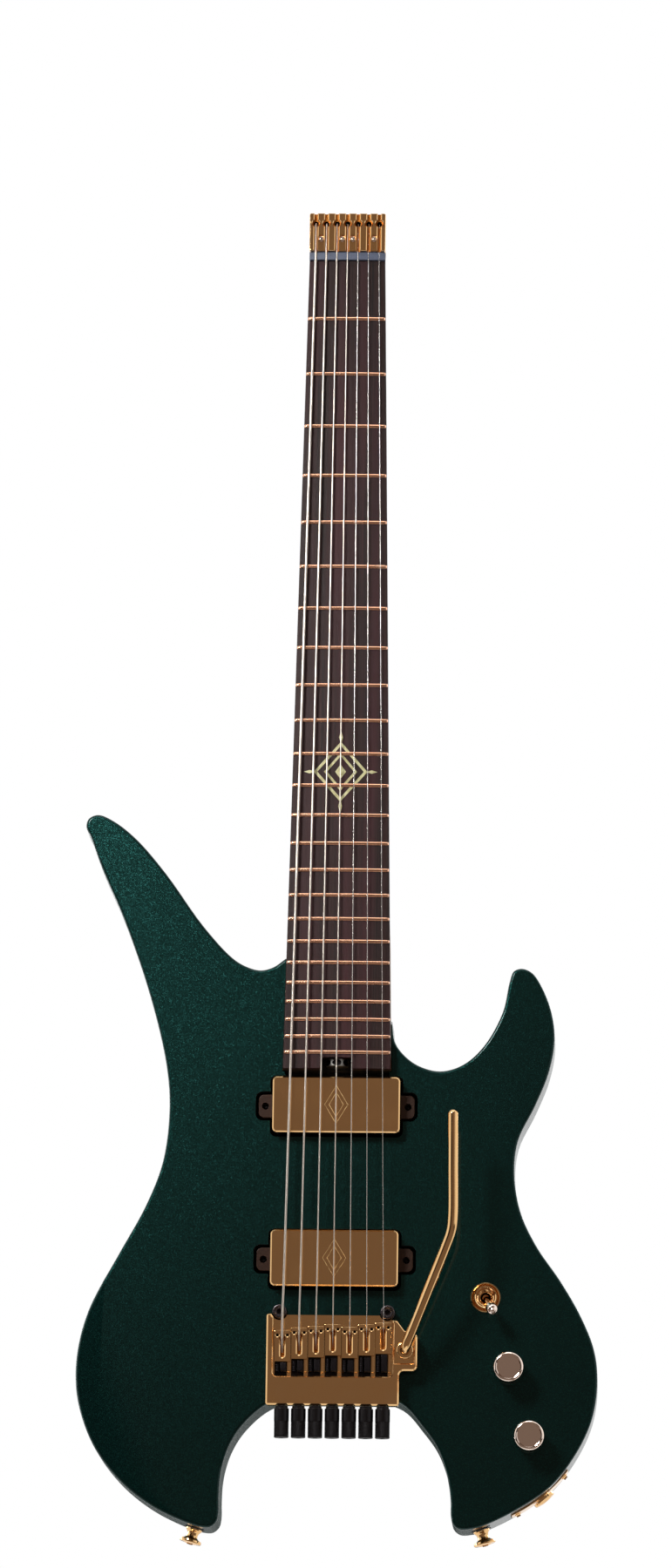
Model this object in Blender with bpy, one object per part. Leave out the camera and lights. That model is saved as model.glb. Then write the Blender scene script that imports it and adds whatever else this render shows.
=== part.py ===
"""A headless seven-string electric guitar with a locking tremolo, standing upright.

+Z runs up the neck, the strings face -Y, and +X is the side of the thin strings. All sizes are in metres.
A height is measured out from the flat front of the body, towards the strings.
"""

import math

import bmesh
import bpy
from mathutils import Matrix, Vector

# Edges that turn more than this are drawn sharp
CREASE_ANGLE = math.radians(35)
BODY_CREASE_ANGLE = math.radians(20)

# Fit between pieces
GAP = 0.0003
RUNNING_GAP = 0.0005

# Where the instrument stands in its frame
BODY_FRONT_Y = -0.004
BRIDGE_LINE_Z = 0.1354

# Strings and scale
SCALE_LENGTH = 0.6731
STRING_COUNT = 7
NUT_SPREAD = 0.0399
BRIDGE_SPREAD = 0.0622
STRING_RADII = (0.00078, 0.00062, 0.00048, 0.00036, 0.00026, 0.0002, 0.00016)
STRING_LIFT_AT_NUT = 0.00155
STRING_LIFT_AT_BRIDGE = 0.0039
INTONATION = (0.0064, 0.0048, 0.0038, 0.0026, 0.0041, 0.0024, 0.0012)

# Fretboard
FRET_COUNT = 24
FRET_WIDTH = 0.0024
FRET_CROWN = 0.001
FRET_HEIGHT = 0.0011
FRETBOARD_THICKNESS = 0.006
FRETBOARD_HEIGHT = 0.010
FRETBOARD_RADIUS = 0.406
FRETBOARD_NUT_WIDTH = 0.0477
FRETBOARD_END_WIDTH = 0.067
FRETBOARD_OVERHANG = 0.0103
BOARD_STEPS = 4

# Neck
NECK_STEPS = 6
NECK_DEPTH_AT_NUT = 0.0135
NECK_DEPTH_AT_HEEL = 0.0165
HEEL_POCKET_DEPTH = 0.016
HEEL_LENGTH = 0.076
POCKET_RUN_OUT = 0.020
HEEL_BLEND = 0.026
HEEL_SQUARENESS = 14.0
HEEL_TOP_SQUARENESS = 12.0
BLEND_SHARE = 0.4
BLEND_SQUARENESS = 5.0
SHAFT_STEPS = 6
SHAFT_SQUARENESS = 2.3
HEAD_SQUARENESS = 2.6
ROD_RADIUS = 0.0026
ROD_DEPTH = 0.0055
ROD_TOP_MARGIN = 0.020
WHEEL_RADIUS = 0.0068
WHEEL_THICKNESS = 0.005
WHEEL_HEIGHT = 0.0008
WHEEL_SPOKES = 8
WHEEL_WAIST_RADIUS = 0.0057
WHEEL_NOTCH_WIDTH = 0.0186
WHEEL_NOTCH_LENGTH = 0.0072

# Nut and headpiece
NUT_LENGTH = 0.0050
NUT_ABOVE_BOARD = 0.00125
HEADPIECE_LENGTH = 0.0243
HEADPIECE_WIDTH = 0.0480
HEADPIECE_ABOVE_STRINGS = 0.0022
HEADPIECE_BEVEL = 0.0008
HEADPIECE_SLOT = 0.0022
HEADPIECE_HOLE_RADIUS = 0.00235
HEADPIECE_HOLE_FROM_END = 0.0064
KEYHOLE_STEPS = 5

# Body. Its edge is a smooth line through these points (x, z), from the bass cutaway round to the treble one.
BODY_THICKNESS = 0.042
BODY_EDGE_ROUND = 0.0020
BODY_EDGE = (
    (-0.0330, 0.3640), (-0.0405, 0.3586), (-0.0483, 0.3565), (-0.0570, 0.3586), (-0.0660, 0.3640),
    (-0.0845, 0.3840), (-0.1080, 0.4165), (-0.1270, 0.4385), (-0.1415, 0.4500), (-0.1515, 0.4541),
    (-0.1575, 0.4516), (-0.1590, 0.4465), (-0.1562, 0.4405), (-0.1490, 0.4212), (-0.1345, 0.3885),
    (-0.1170, 0.3393), (-0.1062, 0.2956), (-0.1040, 0.2680), (-0.1075, 0.2360), (-0.1173, 0.2090),
    (-0.1347, 0.1764), (-0.1520, 0.1435), (-0.1585, 0.1200), (-0.1596, 0.0980), (-0.1560, 0.0790),
    (-0.1465, 0.0570), (-0.1300, 0.0365), (-0.1110, 0.0220), (-0.0910, 0.0124), (-0.0800, 0.0091),
    (-0.0745, 0.0092), (-0.0707, 0.0125), (-0.0694, 0.0180), (-0.0694, 0.0270), (-0.0690, 0.0380),
    (-0.0672, 0.0486), (-0.0630, 0.0605), (-0.0552, 0.0726), (-0.0405, 0.0855), (-0.0200, 0.0925),
    (0.0000, 0.0940), (0.0200, 0.0925), (0.0427, 0.0860), (0.0557, 0.0721), (0.0640, 0.0607),
    (0.0690, 0.0493), (0.0718, 0.0383), (0.0733, 0.0270), (0.0735, 0.0180), (0.0748, 0.0125),
    (0.0787, 0.0093), (0.0860, 0.0095), (0.0942, 0.0118), (0.1137, 0.0215), (0.1350, 0.0364),
    (0.1503, 0.0566), (0.1597, 0.0773), (0.1630, 0.0985), (0.1611, 0.1201), (0.1525, 0.1417),
    (0.1399, 0.1633), (0.1250, 0.1847), (0.1148, 0.2060), (0.1107, 0.2300), (0.1127, 0.2506),
    (0.1232, 0.2728), (0.1314, 0.2936), (0.1349, 0.3140), (0.1328, 0.3315), (0.1263, 0.3481),
    (0.1207, 0.3560), (0.1142, 0.3588), (0.1090, 0.3570), (0.1064, 0.3500), (0.1024, 0.3313),
    (0.0909, 0.3098), (0.0780, 0.2980), (0.0642, 0.2939), (0.0510, 0.2970), (0.0418, 0.3035),
    (0.0358, 0.3120), (0.0339, 0.3247),
)
EDGE_STEPS = 8
EDGE_TURN = math.radians(9)
EDGE_LONGEST = 0.024
FOREARM_CREASE = ((-0.1364, 0.1435), (-0.0854, 0.0148))
FOREARM_SLOPE = math.radians(11)
BELLY_X = -0.0660
BELLY_Z = 0.2640
BELLY_SLOPE = math.radians(17)
BELLY_RADIUS = 0.1150
BELLY_SIDES = 48

# Pickups
PICKUP_WIDTH = 0.0789
PICKUP_LENGTH = 0.0348
PICKUP_CORNER = 0.0028
PICKUP_TOP = 0.0088
PICKUP_WALL = 0.0010
PICKUP_SKIRT_DEPTH = 0.003
PICKUP_RIM = 0.0016
PICKUP_RIM_DROP = 0.0004
PICKUP_EDGE = 0.0006
PICKUP_MARGIN = 0.0018
PICKUP_CAVITY_CORNER = 0.0014
PICKUP_CAVITY_DEPTH = 0.020
EAR_SPAN = 0.0970
EAR_LENGTH = 0.0146
EAR_DROP = 0.0010
EAR_THICKNESS = 0.003
EAR_CORNER = 0.003
NECK_PICKUP_FROM_BOARD = 0.0223
BRIDGE_PICKUP_FROM_LINE = 0.0400

# Tremolo
POST_RADIUS = 0.0044
POST_TOP = 0.0086
POST_DEPTH = 0.020
POST_GROOVE = 0.0005
POST_SOCKET_RADIUS = 0.0021
POST_SOCKET_DEPTH = 0.0026
POST_FROM_LINE = 0.0066
PLATE_PAST_POST = 0.0076
KNIFE_HEIGHT = 0.0050
KNIFE_CLEARANCE = 0.0008
PLATE_BOTTOM = 0.0035
PLATE_THICKNESS = 0.003
PLATE_RIM_TOP = 0.0120
PLATE_BEVEL = 0.0009
PLATE_TOP_Z = 0.1401
PLATE_END_Z = 0.0838
PLATE_CORNER = 0.0014
PLATE_WALL = 0.0041
APRON_LENGTH = 0.0178
BAY_CORNER = 0.0028
BRACKET_REACH = 0.0110
BRACKET_LENGTH = 0.0235
BRACKET_TOP_Z = 0.1290
BRACKET_CORNER = 0.0030
BRACKET_RISE = 0.0012
CORNER_SHARE = 1 - math.sqrt(0.5)
PLATE_SHOULDER = 0.0016
PLATE_STEP = 0.0038
TREBLE_NOTCH_START = math.radians(-62)
BASS_NOTCH_START = math.radians(-22)
NOTCH_END = math.radians(-158)
SADDLE_SIDE_ROOM = 0.0006
SADDLE_LENGTH = 0.0197
SADDLE_FRONT = 0.0013
SADDLE_NOSE = 0.0030
SADDLE_NOSE_ROUND = 0.0004
SADDLE_REAR_DROP = 0.0035
SADDLE_SLOT = 0.0028
SADDLE_SLOT_FROM_NOSE = 0.0052
SADDLE_SLOT_FROM_REAR = 0.0028
SADDLE_SLOT_PAST = 0.0020
SADDLE_FLOOR = 0.0016
TUNER_NECK_RADIUS = 0.0039
TUNER_NECK_LENGTH = 0.0014
TUNER_LENGTH = 0.0196
TUNER_EDGE = 0.0004
TUNER_HEIGHT = 0.0088
TUNER_SHAFT_RADIUS = 0.0020
TUNER_SHAFT_PAST_APRON = 0.0036
BLOCK_INSET = 0.0070
BLOCK_LOW_Z = 0.1120
BLOCK_LENGTH = 0.0180
BLOCK_DEPTH = 0.0360
FRONT_SLOT_SIDE_ROOM = 0.0030
FRONT_SLOT_LOW_Z = 0.1040
FRONT_SLOT_TOP_Z = 0.1345

# Spring cavity in the back
SPRING_CAVITY_STEP = 0.0030
SPRING_CAVITY_LOW_Z = 0.1020
SPRING_CAVITY_TOP_Z = 0.2500
SPRING_CAVITY_DEPTH = 0.0170
CAVITY_CORNER = 0.006
COVER_LEDGE = 0.0040
COVER_THICKNESS = 0.0022
SPRING_RADIUS = 0.0036
SPRING_COUNT = 3
SPRING_PITCH = 0.0120
SPRING_DEPTH = 0.0320
CLAW_Z = 0.2340
CLAW_THICKNESS = 0.0020
CLAW_WIDTH = 0.0540
CLAW_HEIGHT = 0.0100
CLAW_SCREW_X = 0.0210
CLAW_SCREW_RADIUS = 0.0020
CLAW_SCREW_HEAD_RADIUS = 0.0038
CLAW_SCREW_HEAD = 0.0030
CLAW_SCREW_BITE = 0.0120

# Tremolo arm
ARM_FROM_PLATE = 0.0035
ARM_Z = 0.1180
ARM_RADIUS = 0.0032
ARM_SHANK_RADIUS = 0.0027
ARM_SHANK_LENGTH = 0.0090
ARM_PATH = (
    (0.0000, 0.0045, 0.0000), (0.0012, 0.0080, 0.0030), (0.0060, 0.0130, 0.0145), (0.0160, 0.0210, 0.0390),
    (0.0245, 0.0266, 0.0600), (0.0282, 0.0287, 0.0705), (0.0292, 0.0297, 0.0790), (0.0291, 0.0310, 0.1100),
    (0.0289, 0.0320, 0.1430),
)
ARM_STEPS = 3
ARM_TIP = ((0.0014, 0.0026), (0.0024, 0.0011))
COLLAR_RADIUS = 0.0053
COLLAR_HEIGHT = 0.0032
COLLAR_EDGE = 0.0008

# Controls
CONTROL_WALL = 0.006
SWITCH_X = 0.0936
SWITCH_Z = 0.1527
SWITCH_RING_RADIUS = 0.0090
SWITCH_HOLE_RADIUS = 0.0055
SWITCH_RING_HEIGHT = 0.0024
SWITCH_RING_EDGE = 0.0011
SWITCH_BARREL_WALL = 0.0009
SWITCH_PIVOT_DEPTH = 0.0040
SWITCH_TILT = math.radians(25)
SWITCH_LEAN = math.radians(-64.5)
SWITCH_LEVER_RADIUS = 0.0016
SWITCH_TIP_RADIUS = 0.0035
SWITCH_TIP_DISTANCE = 0.0250
SWITCH_TIP_NECK = 0.0056
SWITCH_BALL_RADIUS = 0.0024
SWITCH_BODY_SIZE = 0.0180
SWITCH_BODY_DEPTH = 0.0150
KNOB_PLACES = (("volume", 0.1084, 0.1081), ("tone", 0.1214, 0.0659))
KNOB_RADIUS = 0.00935
KNOB_TOP_RADIUS = 0.0075
KNOB_HEIGHT = 0.0165
KNOB_BEVEL_HEIGHT = 0.0016
KNOB_LIFT = 0.0012
KNOB_BORE_DEPTH = 0.0110
POT_SHAFT_RADIUS = 0.0030
POT_BUSH_RADIUS = 0.0044
POT_RADIUS = 0.0082
POT_HEIGHT = 0.0095
CONTROL_CORNER = 0.012
CONTROL_CAVITY = (
    (0.0790, 0.1680), (0.1080, 0.1680), (0.1260, 0.1400), (0.1390, 0.1000), (0.1400, 0.0640),
    (0.1290, 0.0470), (0.1060, 0.0510), (0.0900, 0.0900), (0.0770, 0.1300),
)

# Output jack on the lower edge, where the body's side is close to an arc through these three points
JACK_ARC = ((0.1105, 0.0197), (0.1285, 0.0311), (0.1448, 0.0480))
JACK_PLATE_HEIGHT = 0.0170
JACK_PLATE_THICKNESS = 0.0015
JACK_PLATE_PROUD = 0.0008
JACK_RADIUS = 0.0047
JACK_BORE_RADIUS = 0.0033
JACK_BORE_DEPTH = 0.0220
JACK_LENGTH = 0.0270
JACK_NUT_RADIUS = 0.0072
JACK_NUT_HEIGHT = 0.0024
JACK_DRILL_RADIUS = 0.0064
JACK_DRILL_LENGTH = 0.0340

# Strap buttons on the lower edge: name, place on the edge (x, z), and the side that the axis leans to
STRAP_BUTTONS = (("strap_button_bass", -0.0850, 0.0107, -1), ("strap_button_treble", 0.0920, 0.0109, 1))
BUTTON_HEAD_RADIUS = 0.0069
BUTTON_WAIST_RADIUS = 0.0034
BUTTON_FOOT_RADIUS = 0.0051
BUTTON_LENGTH = 0.0100
BUTTON_HEAD_THICKNESS = 0.0024
BUTTON_FOOT_HEIGHT = 0.0016
BUTTON_EDGE = 0.0010
BUTTON_SCREW_RADIUS = 0.0018
BUTTON_SCREW_LENGTH = 0.0180
BUTTON_LEAN = math.radians(16)
HORN_BUTTON = (-0.1360, 0.4200)

NUT_Z = BRIDGE_LINE_Z + SCALE_LENGTH
POST_Z = BRIDGE_LINE_Z + POST_FROM_LINE
NECK_TOP = FRETBOARD_HEIGHT - FRETBOARD_THICKNESS - GAP
HEAD_END_Z = NUT_Z + NUT_LENGTH + GAP + HEADPIECE_LENGTH
PLATE_TOP = PLATE_BOTTOM + PLATE_THICKNESS
SADDLE_PITCH = BRIDGE_SPREAD / (STRING_COUNT - 1)
TUNER_RADIUS = SADDLE_PITCH / 2 - GAP
PLATE_WIDTH = STRING_COUNT * SADDLE_PITCH + 2 * (SADDLE_SIDE_ROOM + PLATE_WALL)
HALF_PLATE = PLATE_WIDTH / 2
POST_SPACING = PLATE_WIDTH - 2 * PLATE_PAST_POST
BLOCK_WIDTH = PLATE_WIDTH - 2 * BLOCK_INSET
FRONT_SLOT_HALF_WIDTH = BLOCK_WIDTH / 2 + FRONT_SLOT_SIDE_ROOM
SPRING_CAVITY_HALF_WIDTH = FRONT_SLOT_HALF_WIDTH + SPRING_CAVITY_STEP
ARM_X = HALF_PLATE + ARM_FROM_PLATE
PIVOT = Vector((0, BODY_FRONT_Y - KNIFE_HEIGHT, POST_Z))


def fret_z(number):
    return NUT_Z - SCALE_LENGTH * (1 - 2 ** (-number / 12))


BOARD_END_Z = fret_z(FRET_COUNT) - FRETBOARD_OVERHANG


def board_half_width(z):
    """Half the fretboard's width: it widens evenly from the nut to its end, and on past the nut."""
    share = (NUT_Z - z) / (NUT_Z - BOARD_END_Z)
    return (FRETBOARD_NUT_WIDTH + (FRETBOARD_END_WIDTH - FRETBOARD_NUT_WIDTH) * share) / 2


def crown_drop(x):
    """How far the rounded top of the fretboard, and the strings over it, fall away from the middle."""
    return FRETBOARD_RADIUS - math.sqrt(FRETBOARD_RADIUS**2 - x**2)


def string_share(index):
    return index / (STRING_COUNT - 1) - 0.5


def string_x(index, z):
    share = (NUT_Z - z) / SCALE_LENGTH
    return string_share(index) * (NUT_SPREAD + (BRIDGE_SPREAD - NUT_SPREAD) * share)


def string_height(index, z):
    """Height of the string's centre over the body's front."""
    share = (NUT_Z - z) / SCALE_LENGTH
    lift = STRING_LIFT_AT_NUT + (STRING_LIFT_AT_BRIDGE - STRING_LIFT_AT_NUT) * share
    return FRETBOARD_HEIGHT - crown_drop(string_x(index, z)) + lift + STRING_RADII[index]


def at(x, height, z):
    return Vector((x, BODY_FRONT_Y - height, z))


def material(name, colour, metallic, roughness):
    made = bpy.data.materials.new(name)
    made.use_nodes = True
    shader = made.node_tree.nodes["Principled BSDF"]
    shader.inputs["Base Color"].default_value = (*colour, 1)
    shader.inputs["Metallic"].default_value = metallic
    shader.inputs["Roughness"].default_value = roughness
    made.diffuse_color = (*colour, 1)
    return made


def add_object(name, bm, paint, origin=(0, 0, 0), parent=None, crease=CREASE_ANGLE):
    """Makes the mesh, drawn in world coordinates, an object whose origin is at the given point."""
    origin = Vector(origin)
    bmesh.ops.translate(bm, vec=-origin, verts=bm.verts)
    bmesh.ops.recalc_face_normals(bm, faces=bm.faces)
    mesh = bpy.data.meshes.new(name)
    bm.to_mesh(mesh)
    bm.free()
    mesh.shade_smooth()
    mesh.set_sharp_from_angle(angle=crease)
    mesh.materials.append(paint)
    made = bpy.data.objects.new(name, mesh)
    bpy.context.scene.collection.objects.link(made)
    place(made, origin, parent)
    return made


def place(made, origin, parent):
    made.location = origin - world_location(parent)
    made.parent = parent


def world_location(pivot):
    found = Vector()
    while pivot:
        found += pivot.location
        pivot = pivot.parent
    return found


def add_pivot(name, origin, parent=None):
    """An empty on a joint's axis, which carries the pieces that move with that joint."""
    made = bpy.data.objects.new(name, None)
    bpy.context.scene.collection.objects.link(made)
    place(made, Vector(origin), parent)
    return made


def cut(target, bm, name):
    """Takes a shape away from an object with a Boolean, and keeps the cutter as a hidden guide."""
    cutter = add_object(name, bm, GUIDE)
    cutter.hide_render = True
    cutter.display_type = "WIRE"
    modifier = target.modifiers.new(name, "BOOLEAN")
    modifier.operation = "DIFFERENCE"
    modifier.solver = "EXACT"
    modifier.object = cutter


def joined(shapes):
    """Several separate closed shapes as one mesh."""
    whole = bmesh.new()
    for shape in shapes:
        mesh = bpy.data.meshes.new("shape")
        shape.to_mesh(mesh)
        shape.free()
        whole.from_mesh(mesh)
        bpy.data.meshes.remove(mesh)
    return whole


def slab(points, low, high):
    """An outline of (x, z) points, filled between two heights over the body's front."""
    bm = bmesh.new()
    face = bm.faces.new([bm.verts.new(at(x, low, z)) for x, z in points])
    grown = bmesh.ops.extrude_face_region(bm, geom=[face])["geom"]
    moved = [item for item in grown if isinstance(item, bmesh.types.BMVert)]
    bmesh.ops.translate(bm, vec=(0, low - high, 0), verts=moved)
    bmesh.ops.recalc_face_normals(bm, faces=bm.faces)
    return bm


def side_slab(points, low_x, high_x):
    """An outline of (z, height) points, filled between two places along X."""
    bm = bmesh.new()
    face = bm.faces.new([bm.verts.new(at(low_x, height, z)) for z, height in points])
    grown = bmesh.ops.extrude_face_region(bm, geom=[face])["geom"]
    moved = [item for item in grown if isinstance(item, bmesh.types.BMVert)]
    bmesh.ops.translate(bm, vec=(high_x - low_x, 0, 0), verts=moved)
    bmesh.ops.recalc_face_normals(bm, faces=bm.faces)
    return bm


def box(low_x, high_x, low_height, high_height, low_z, high_z):
    corners = ((low_x, low_z), (high_x, low_z), (high_x, high_z), (low_x, high_z))
    return slab(corners, low_height, high_height)


def bevel_face_rim(bm, height, width, segments=1):
    """Bevels the edges that lie in the flat face at this height."""
    y = BODY_FRONT_Y - height
    rim = [edge for edge in bm.edges if all(abs(vert.co.y - y) < 1e-6 for vert in edge.verts)]
    bmesh.ops.bevel(
        bm, geom=rim, offset=width, offset_type="OFFSET", segments=segments, profile=0.5, affect="EDGES",
        clamp_overlap=False, material=-1,
    )


def turned(profile, base, axis, sides):
    """A closed turned shape: (radius, distance along the axis) points, spun about the axis from base."""
    bm = bmesh.new()
    verts = [bm.verts.new((radius, 0, distance)) for radius, distance in profile]
    edges = [bm.edges.new(pair) for pair in zip(verts, verts[1:])]
    if profile[0][0] or profile[-1][0]:
        edges.append(bm.edges.new((verts[-1], verts[0])))
    bmesh.ops.spin(
        bm, geom=verts + edges, cent=(0, 0, 0), axis=(0, 0, 1), angle=2 * math.pi, steps=sides,
        use_merge=True,
    )
    bmesh.ops.remove_doubles(bm, verts=bm.verts, dist=1e-6)
    turn = Vector((0, 0, 1)).rotation_difference(Vector(axis)).to_matrix().to_4x4()
    bmesh.ops.transform(bm, matrix=Matrix.Translation(base) @ turn, verts=bm.verts)
    bmesh.ops.recalc_face_normals(bm, faces=bm.faces)
    return bm


def rod(radius, base, axis, length, sides=12):
    return turned(((0, 0), (radius, 0), (radius, length), (0, length)), base, axis, sides)


def loft(rings):
    """A closed shape through rings of points, each ring with the same number of points."""
    bm = bmesh.new()
    loops = [[bm.verts.new(point) for point in ring] for ring in rings]
    for first, second in zip(loops, loops[1:]):
        for here in range(len(first)):
            after = (here + 1) % len(first)
            bm.faces.new((first[here], first[after], second[after], second[here]))
    bm.faces.new(loops[0])
    bm.faces.new(loops[-1])
    bmesh.ops.recalc_face_normals(bm, faces=bm.faces)
    return bm


def rounded(corners, radius, steps=3):
    """A polygon of (x, z) corners with each corner turned into an arc of this radius."""
    points = []
    for index, corner in enumerate(corners):
        here = Vector(corner)
        before = (Vector(corners[index - 1]) - here).normalized()
        after = (Vector(corners[(index + 1) % len(corners)]) - here).normalized()
        half = before.angle(after) / 2
        middle = here + (before + after).normalized() * radius / math.sin(half)
        start = here + before * radius / math.tan(half) - middle
        end = here + after * radius / math.tan(half) - middle
        sweep = start.angle_signed(end)
        for step in range(steps + 1):
            arm = start.copy()
            arm.rotate(Matrix.Rotation(-sweep * step / steps, 2))
            points.append(tuple(middle + arm))
    return points


def rounded_rectangle(centre_x, centre_z, width, length, radius, steps=3):
    low_x, high_x = centre_x - width / 2, centre_x + width / 2
    low_z, high_z = centre_z - length / 2, centre_z + length / 2
    corners = ((low_x, low_z), (high_x, low_z), (high_x, high_z), (low_x, high_z))
    return rounded(corners, radius, steps)


def smooth_path(points, steps):
    """A centripetal Catmull-Rom curve through the points, with this many steps from each to the next."""
    knots = [Vector(point) for point in points]
    knots = [knots[0] * 2 - knots[1], *knots, knots[-1] * 2 - knots[-2]]
    path = []
    for a, b, c, d in zip(knots, knots[1:], knots[2:], knots[3:]):
        times = [0.0]
        for first, second in ((a, b), (b, c), (c, d)):
            times.append(times[-1] + math.sqrt((second - first).length))
        for step in range(steps):
            t = times[1] + (times[2] - times[1]) * step / steps
            ab = a.lerp(b, (t - times[0]) / (times[1] - times[0]))
            bc = b.lerp(c, (t - times[1]) / (times[2] - times[1]))
            cd = c.lerp(d, (t - times[2]) / (times[3] - times[2]))
            abc = ab.lerp(bc, (t - times[0]) / (times[2] - times[0]))
            bcd = bc.lerp(cd, (t - times[1]) / (times[3] - times[1]))
            path.append(abc.lerp(bcd, (t - times[1]) / (times[2] - times[1])))
    return [*path, knots[-2]]


def thinned(path, turn, longest):
    """Keeps a point of a fine path wherever it has turned this far or run this long since the last."""
    kept = [path[0]]
    direction = path[1] - path[0]
    for before, here, after in zip(path, path[1:], path[2:]):
        turned_by = direction.angle(after - here)
        if turned_by >= turn or (after - kept[-1]).length > longest:
            kept.append(here)
            direction = after - here
    return [*kept, path[-1]]


def tube(name, points, radii, paint, resolution=1, origin=(0, 0, 0), parent=None):
    """A round bar through world points, each with its own radius."""
    origin = Vector(origin)
    curve = bpy.data.curves.new(name, "CURVE")
    curve.dimensions = "3D"
    curve.bevel_depth = 1
    curve.bevel_resolution = resolution
    curve.use_fill_caps = True
    spline = curve.splines.new("POLY")
    spline.points.add(len(points) - 1)
    for knot, point, radius in zip(spline.points, points, radii):
        knot.co = (*(Vector(point) - origin), 1)
        knot.radius = radius
    curve.materials.append(paint)
    made = bpy.data.objects.new(name, curve)
    bpy.context.scene.collection.objects.link(made)
    place(made, origin, parent)
    return made


def cut_by_plane(bm, point, normal):
    """Removes what lies beyond a plane and closes the cut."""
    geometry = bm.verts[:] + bm.edges[:] + bm.faces[:]
    found = bmesh.ops.bisect_plane(
        bm, geom=geometry, plane_co=point, plane_no=normal, clear_outer=True, dist=1e-7,
    )
    edges = [item for item in found["geom_cut"] if isinstance(item, bmesh.types.BMEdge)]
    bmesh.ops.contextual_create(bm, geom=edges)
    bmesh.ops.recalc_face_normals(bm, faces=bm.faces)


def forearm_plane():
    """The plane that falls away from the forearm crease towards the bass side."""
    first, second = (at(x, 0, z) for x, z in FOREARM_CREASE)
    face = Vector((0, -1, 0))
    outward = face.cross(second - first).normalized()
    if outward.x > 0:
        outward = -outward
    return first, (face * math.cos(FOREARM_SLOPE) + outward * math.sin(FOREARM_SLOPE)).normalized()


def belly_scoop():
    """A big cylinder that sinks into the back towards the bass side of the waist."""
    along = Vector((-math.cos(BELLY_SLOPE), -math.sin(BELLY_SLOPE), 0))
    away = Vector((-math.sin(BELLY_SLOPE), math.cos(BELLY_SLOPE), 0))
    reach = max(abs(x) for x, _z in BODY_EDGE)
    start = at(BELLY_X, -BODY_THICKNESS, BELLY_Z) - along * reach / 4
    return rod(BELLY_RADIUS, start + away * BELLY_RADIUS, along, reach, BELLY_SIDES)


def body_outline():
    path = thinned(smooth_path(BODY_EDGE, EDGE_STEPS), EDGE_TURN, EDGE_LONGEST)
    return [tuple(point) for point in path]


def build_body():
    bm = slab(body_outline(), -BODY_THICKNESS, 0)
    cut_by_plane(bm, *forearm_plane())
    rim = []
    for edge in bm.edges:
        facing = [abs(face.normal.y) > 0.5 for face in edge.link_faces]
        if any(facing) and not all(facing):
            rim.append(edge)
    bmesh.ops.bevel(
        bm, geom=rim, offset=BODY_EDGE_ROUND, offset_type="OFFSET", segments=2, profile=0.5, affect="EDGES",
        clamp_overlap=False, material=-1,
    )
    body = add_object("body", bm, BODY_PAINT, crease=BODY_CREASE_ANGLE)
    cut(body, belly_scoop(), "cut_belly")
    cut(body, heel_shape(RUNNING_GAP), "cut_neck_pocket")
    for name, z in (("neck", neck_pickup_z()), ("bridge", bridge_pickup_z())):
        cut(body, pickup_room(z), f"cut_{name}_pickup")
    cut(body, tremolo_slot(), "cut_tremolo_slot")
    cut(body, cavity(spring_cavity(0), SPRING_CAVITY_DEPTH), "cut_spring_cavity")
    cut(body, cavity(spring_cavity(COVER_LEDGE), COVER_THICKNESS + GAP), "cut_spring_ledge")
    cut(body, cavity(control_cavity(0), BODY_THICKNESS - CONTROL_WALL), "cut_control_cavity")
    cut(body, cavity(control_cavity(COVER_LEDGE), COVER_THICKNESS + GAP), "cut_control_ledge")
    cut(body, joined(small_holes()), "cut_holes")
    cut(body, jack_recess(), "cut_jack_recess")
    cut(body, jack_drill(), "cut_jack_drill")


def heel_shape(clearance):
    """The straight-sided block that the neck's heel fills, larger all round by the clearance."""
    low = BOARD_END_Z - clearance
    high = BOARD_END_Z + HEEL_LENGTH + POCKET_RUN_OUT
    half_low = board_half_width(low) + clearance
    half_high = board_half_width(high) + clearance
    outline = ((-half_low, low), (half_low, low), (half_high, high), (-half_high, high))
    return slab(outline, -HEEL_POCKET_DEPTH - clearance, FRETBOARD_HEIGHT)


def neck_pickup_z():
    return BOARD_END_Z - NECK_PICKUP_FROM_BOARD


def bridge_pickup_z():
    return BRIDGE_LINE_Z + BRIDGE_PICKUP_FROM_LINE


def pickup_room(z):
    """The pickup's cavity, with a bay for the ear at each end."""
    half_width = PICKUP_WIDTH / 2 + PICKUP_MARGIN
    half_length = PICKUP_LENGTH / 2 + PICKUP_MARGIN
    half_span = EAR_SPAN / 2 + PICKUP_MARGIN
    half_ear = EAR_LENGTH / 2 + PICKUP_MARGIN
    corners = (
        (-half_width, z - half_length), (half_width, z - half_length), (half_width, z - half_ear),
        (half_span, z - half_ear), (half_span, z + half_ear), (half_width, z + half_ear),
        (half_width, z + half_length), (-half_width, z + half_length), (-half_width, z + half_ear),
        (-half_span, z + half_ear), (-half_span, z - half_ear), (-half_width, z - half_ear),
    )
    return slab(rounded(corners, PICKUP_CAVITY_CORNER, 2), -PICKUP_CAVITY_DEPTH, GAP)


def tremolo_slot():
    corners = (
        (-FRONT_SLOT_HALF_WIDTH, FRONT_SLOT_LOW_Z), (FRONT_SLOT_HALF_WIDTH, FRONT_SLOT_LOW_Z),
        (FRONT_SLOT_HALF_WIDTH, FRONT_SLOT_TOP_Z), (-FRONT_SLOT_HALF_WIDTH, FRONT_SLOT_TOP_Z),
    )
    return slab(corners, -BODY_THICKNESS + SPRING_CAVITY_DEPTH / 2, GAP)


def spring_cavity(margin):
    centre_z = (SPRING_CAVITY_LOW_Z + SPRING_CAVITY_TOP_Z) / 2
    width = (SPRING_CAVITY_HALF_WIDTH + margin) * 2
    length = SPRING_CAVITY_TOP_Z - SPRING_CAVITY_LOW_Z + 2 * margin
    return rounded_rectangle(0, centre_z, width, length, CAVITY_CORNER)


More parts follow.
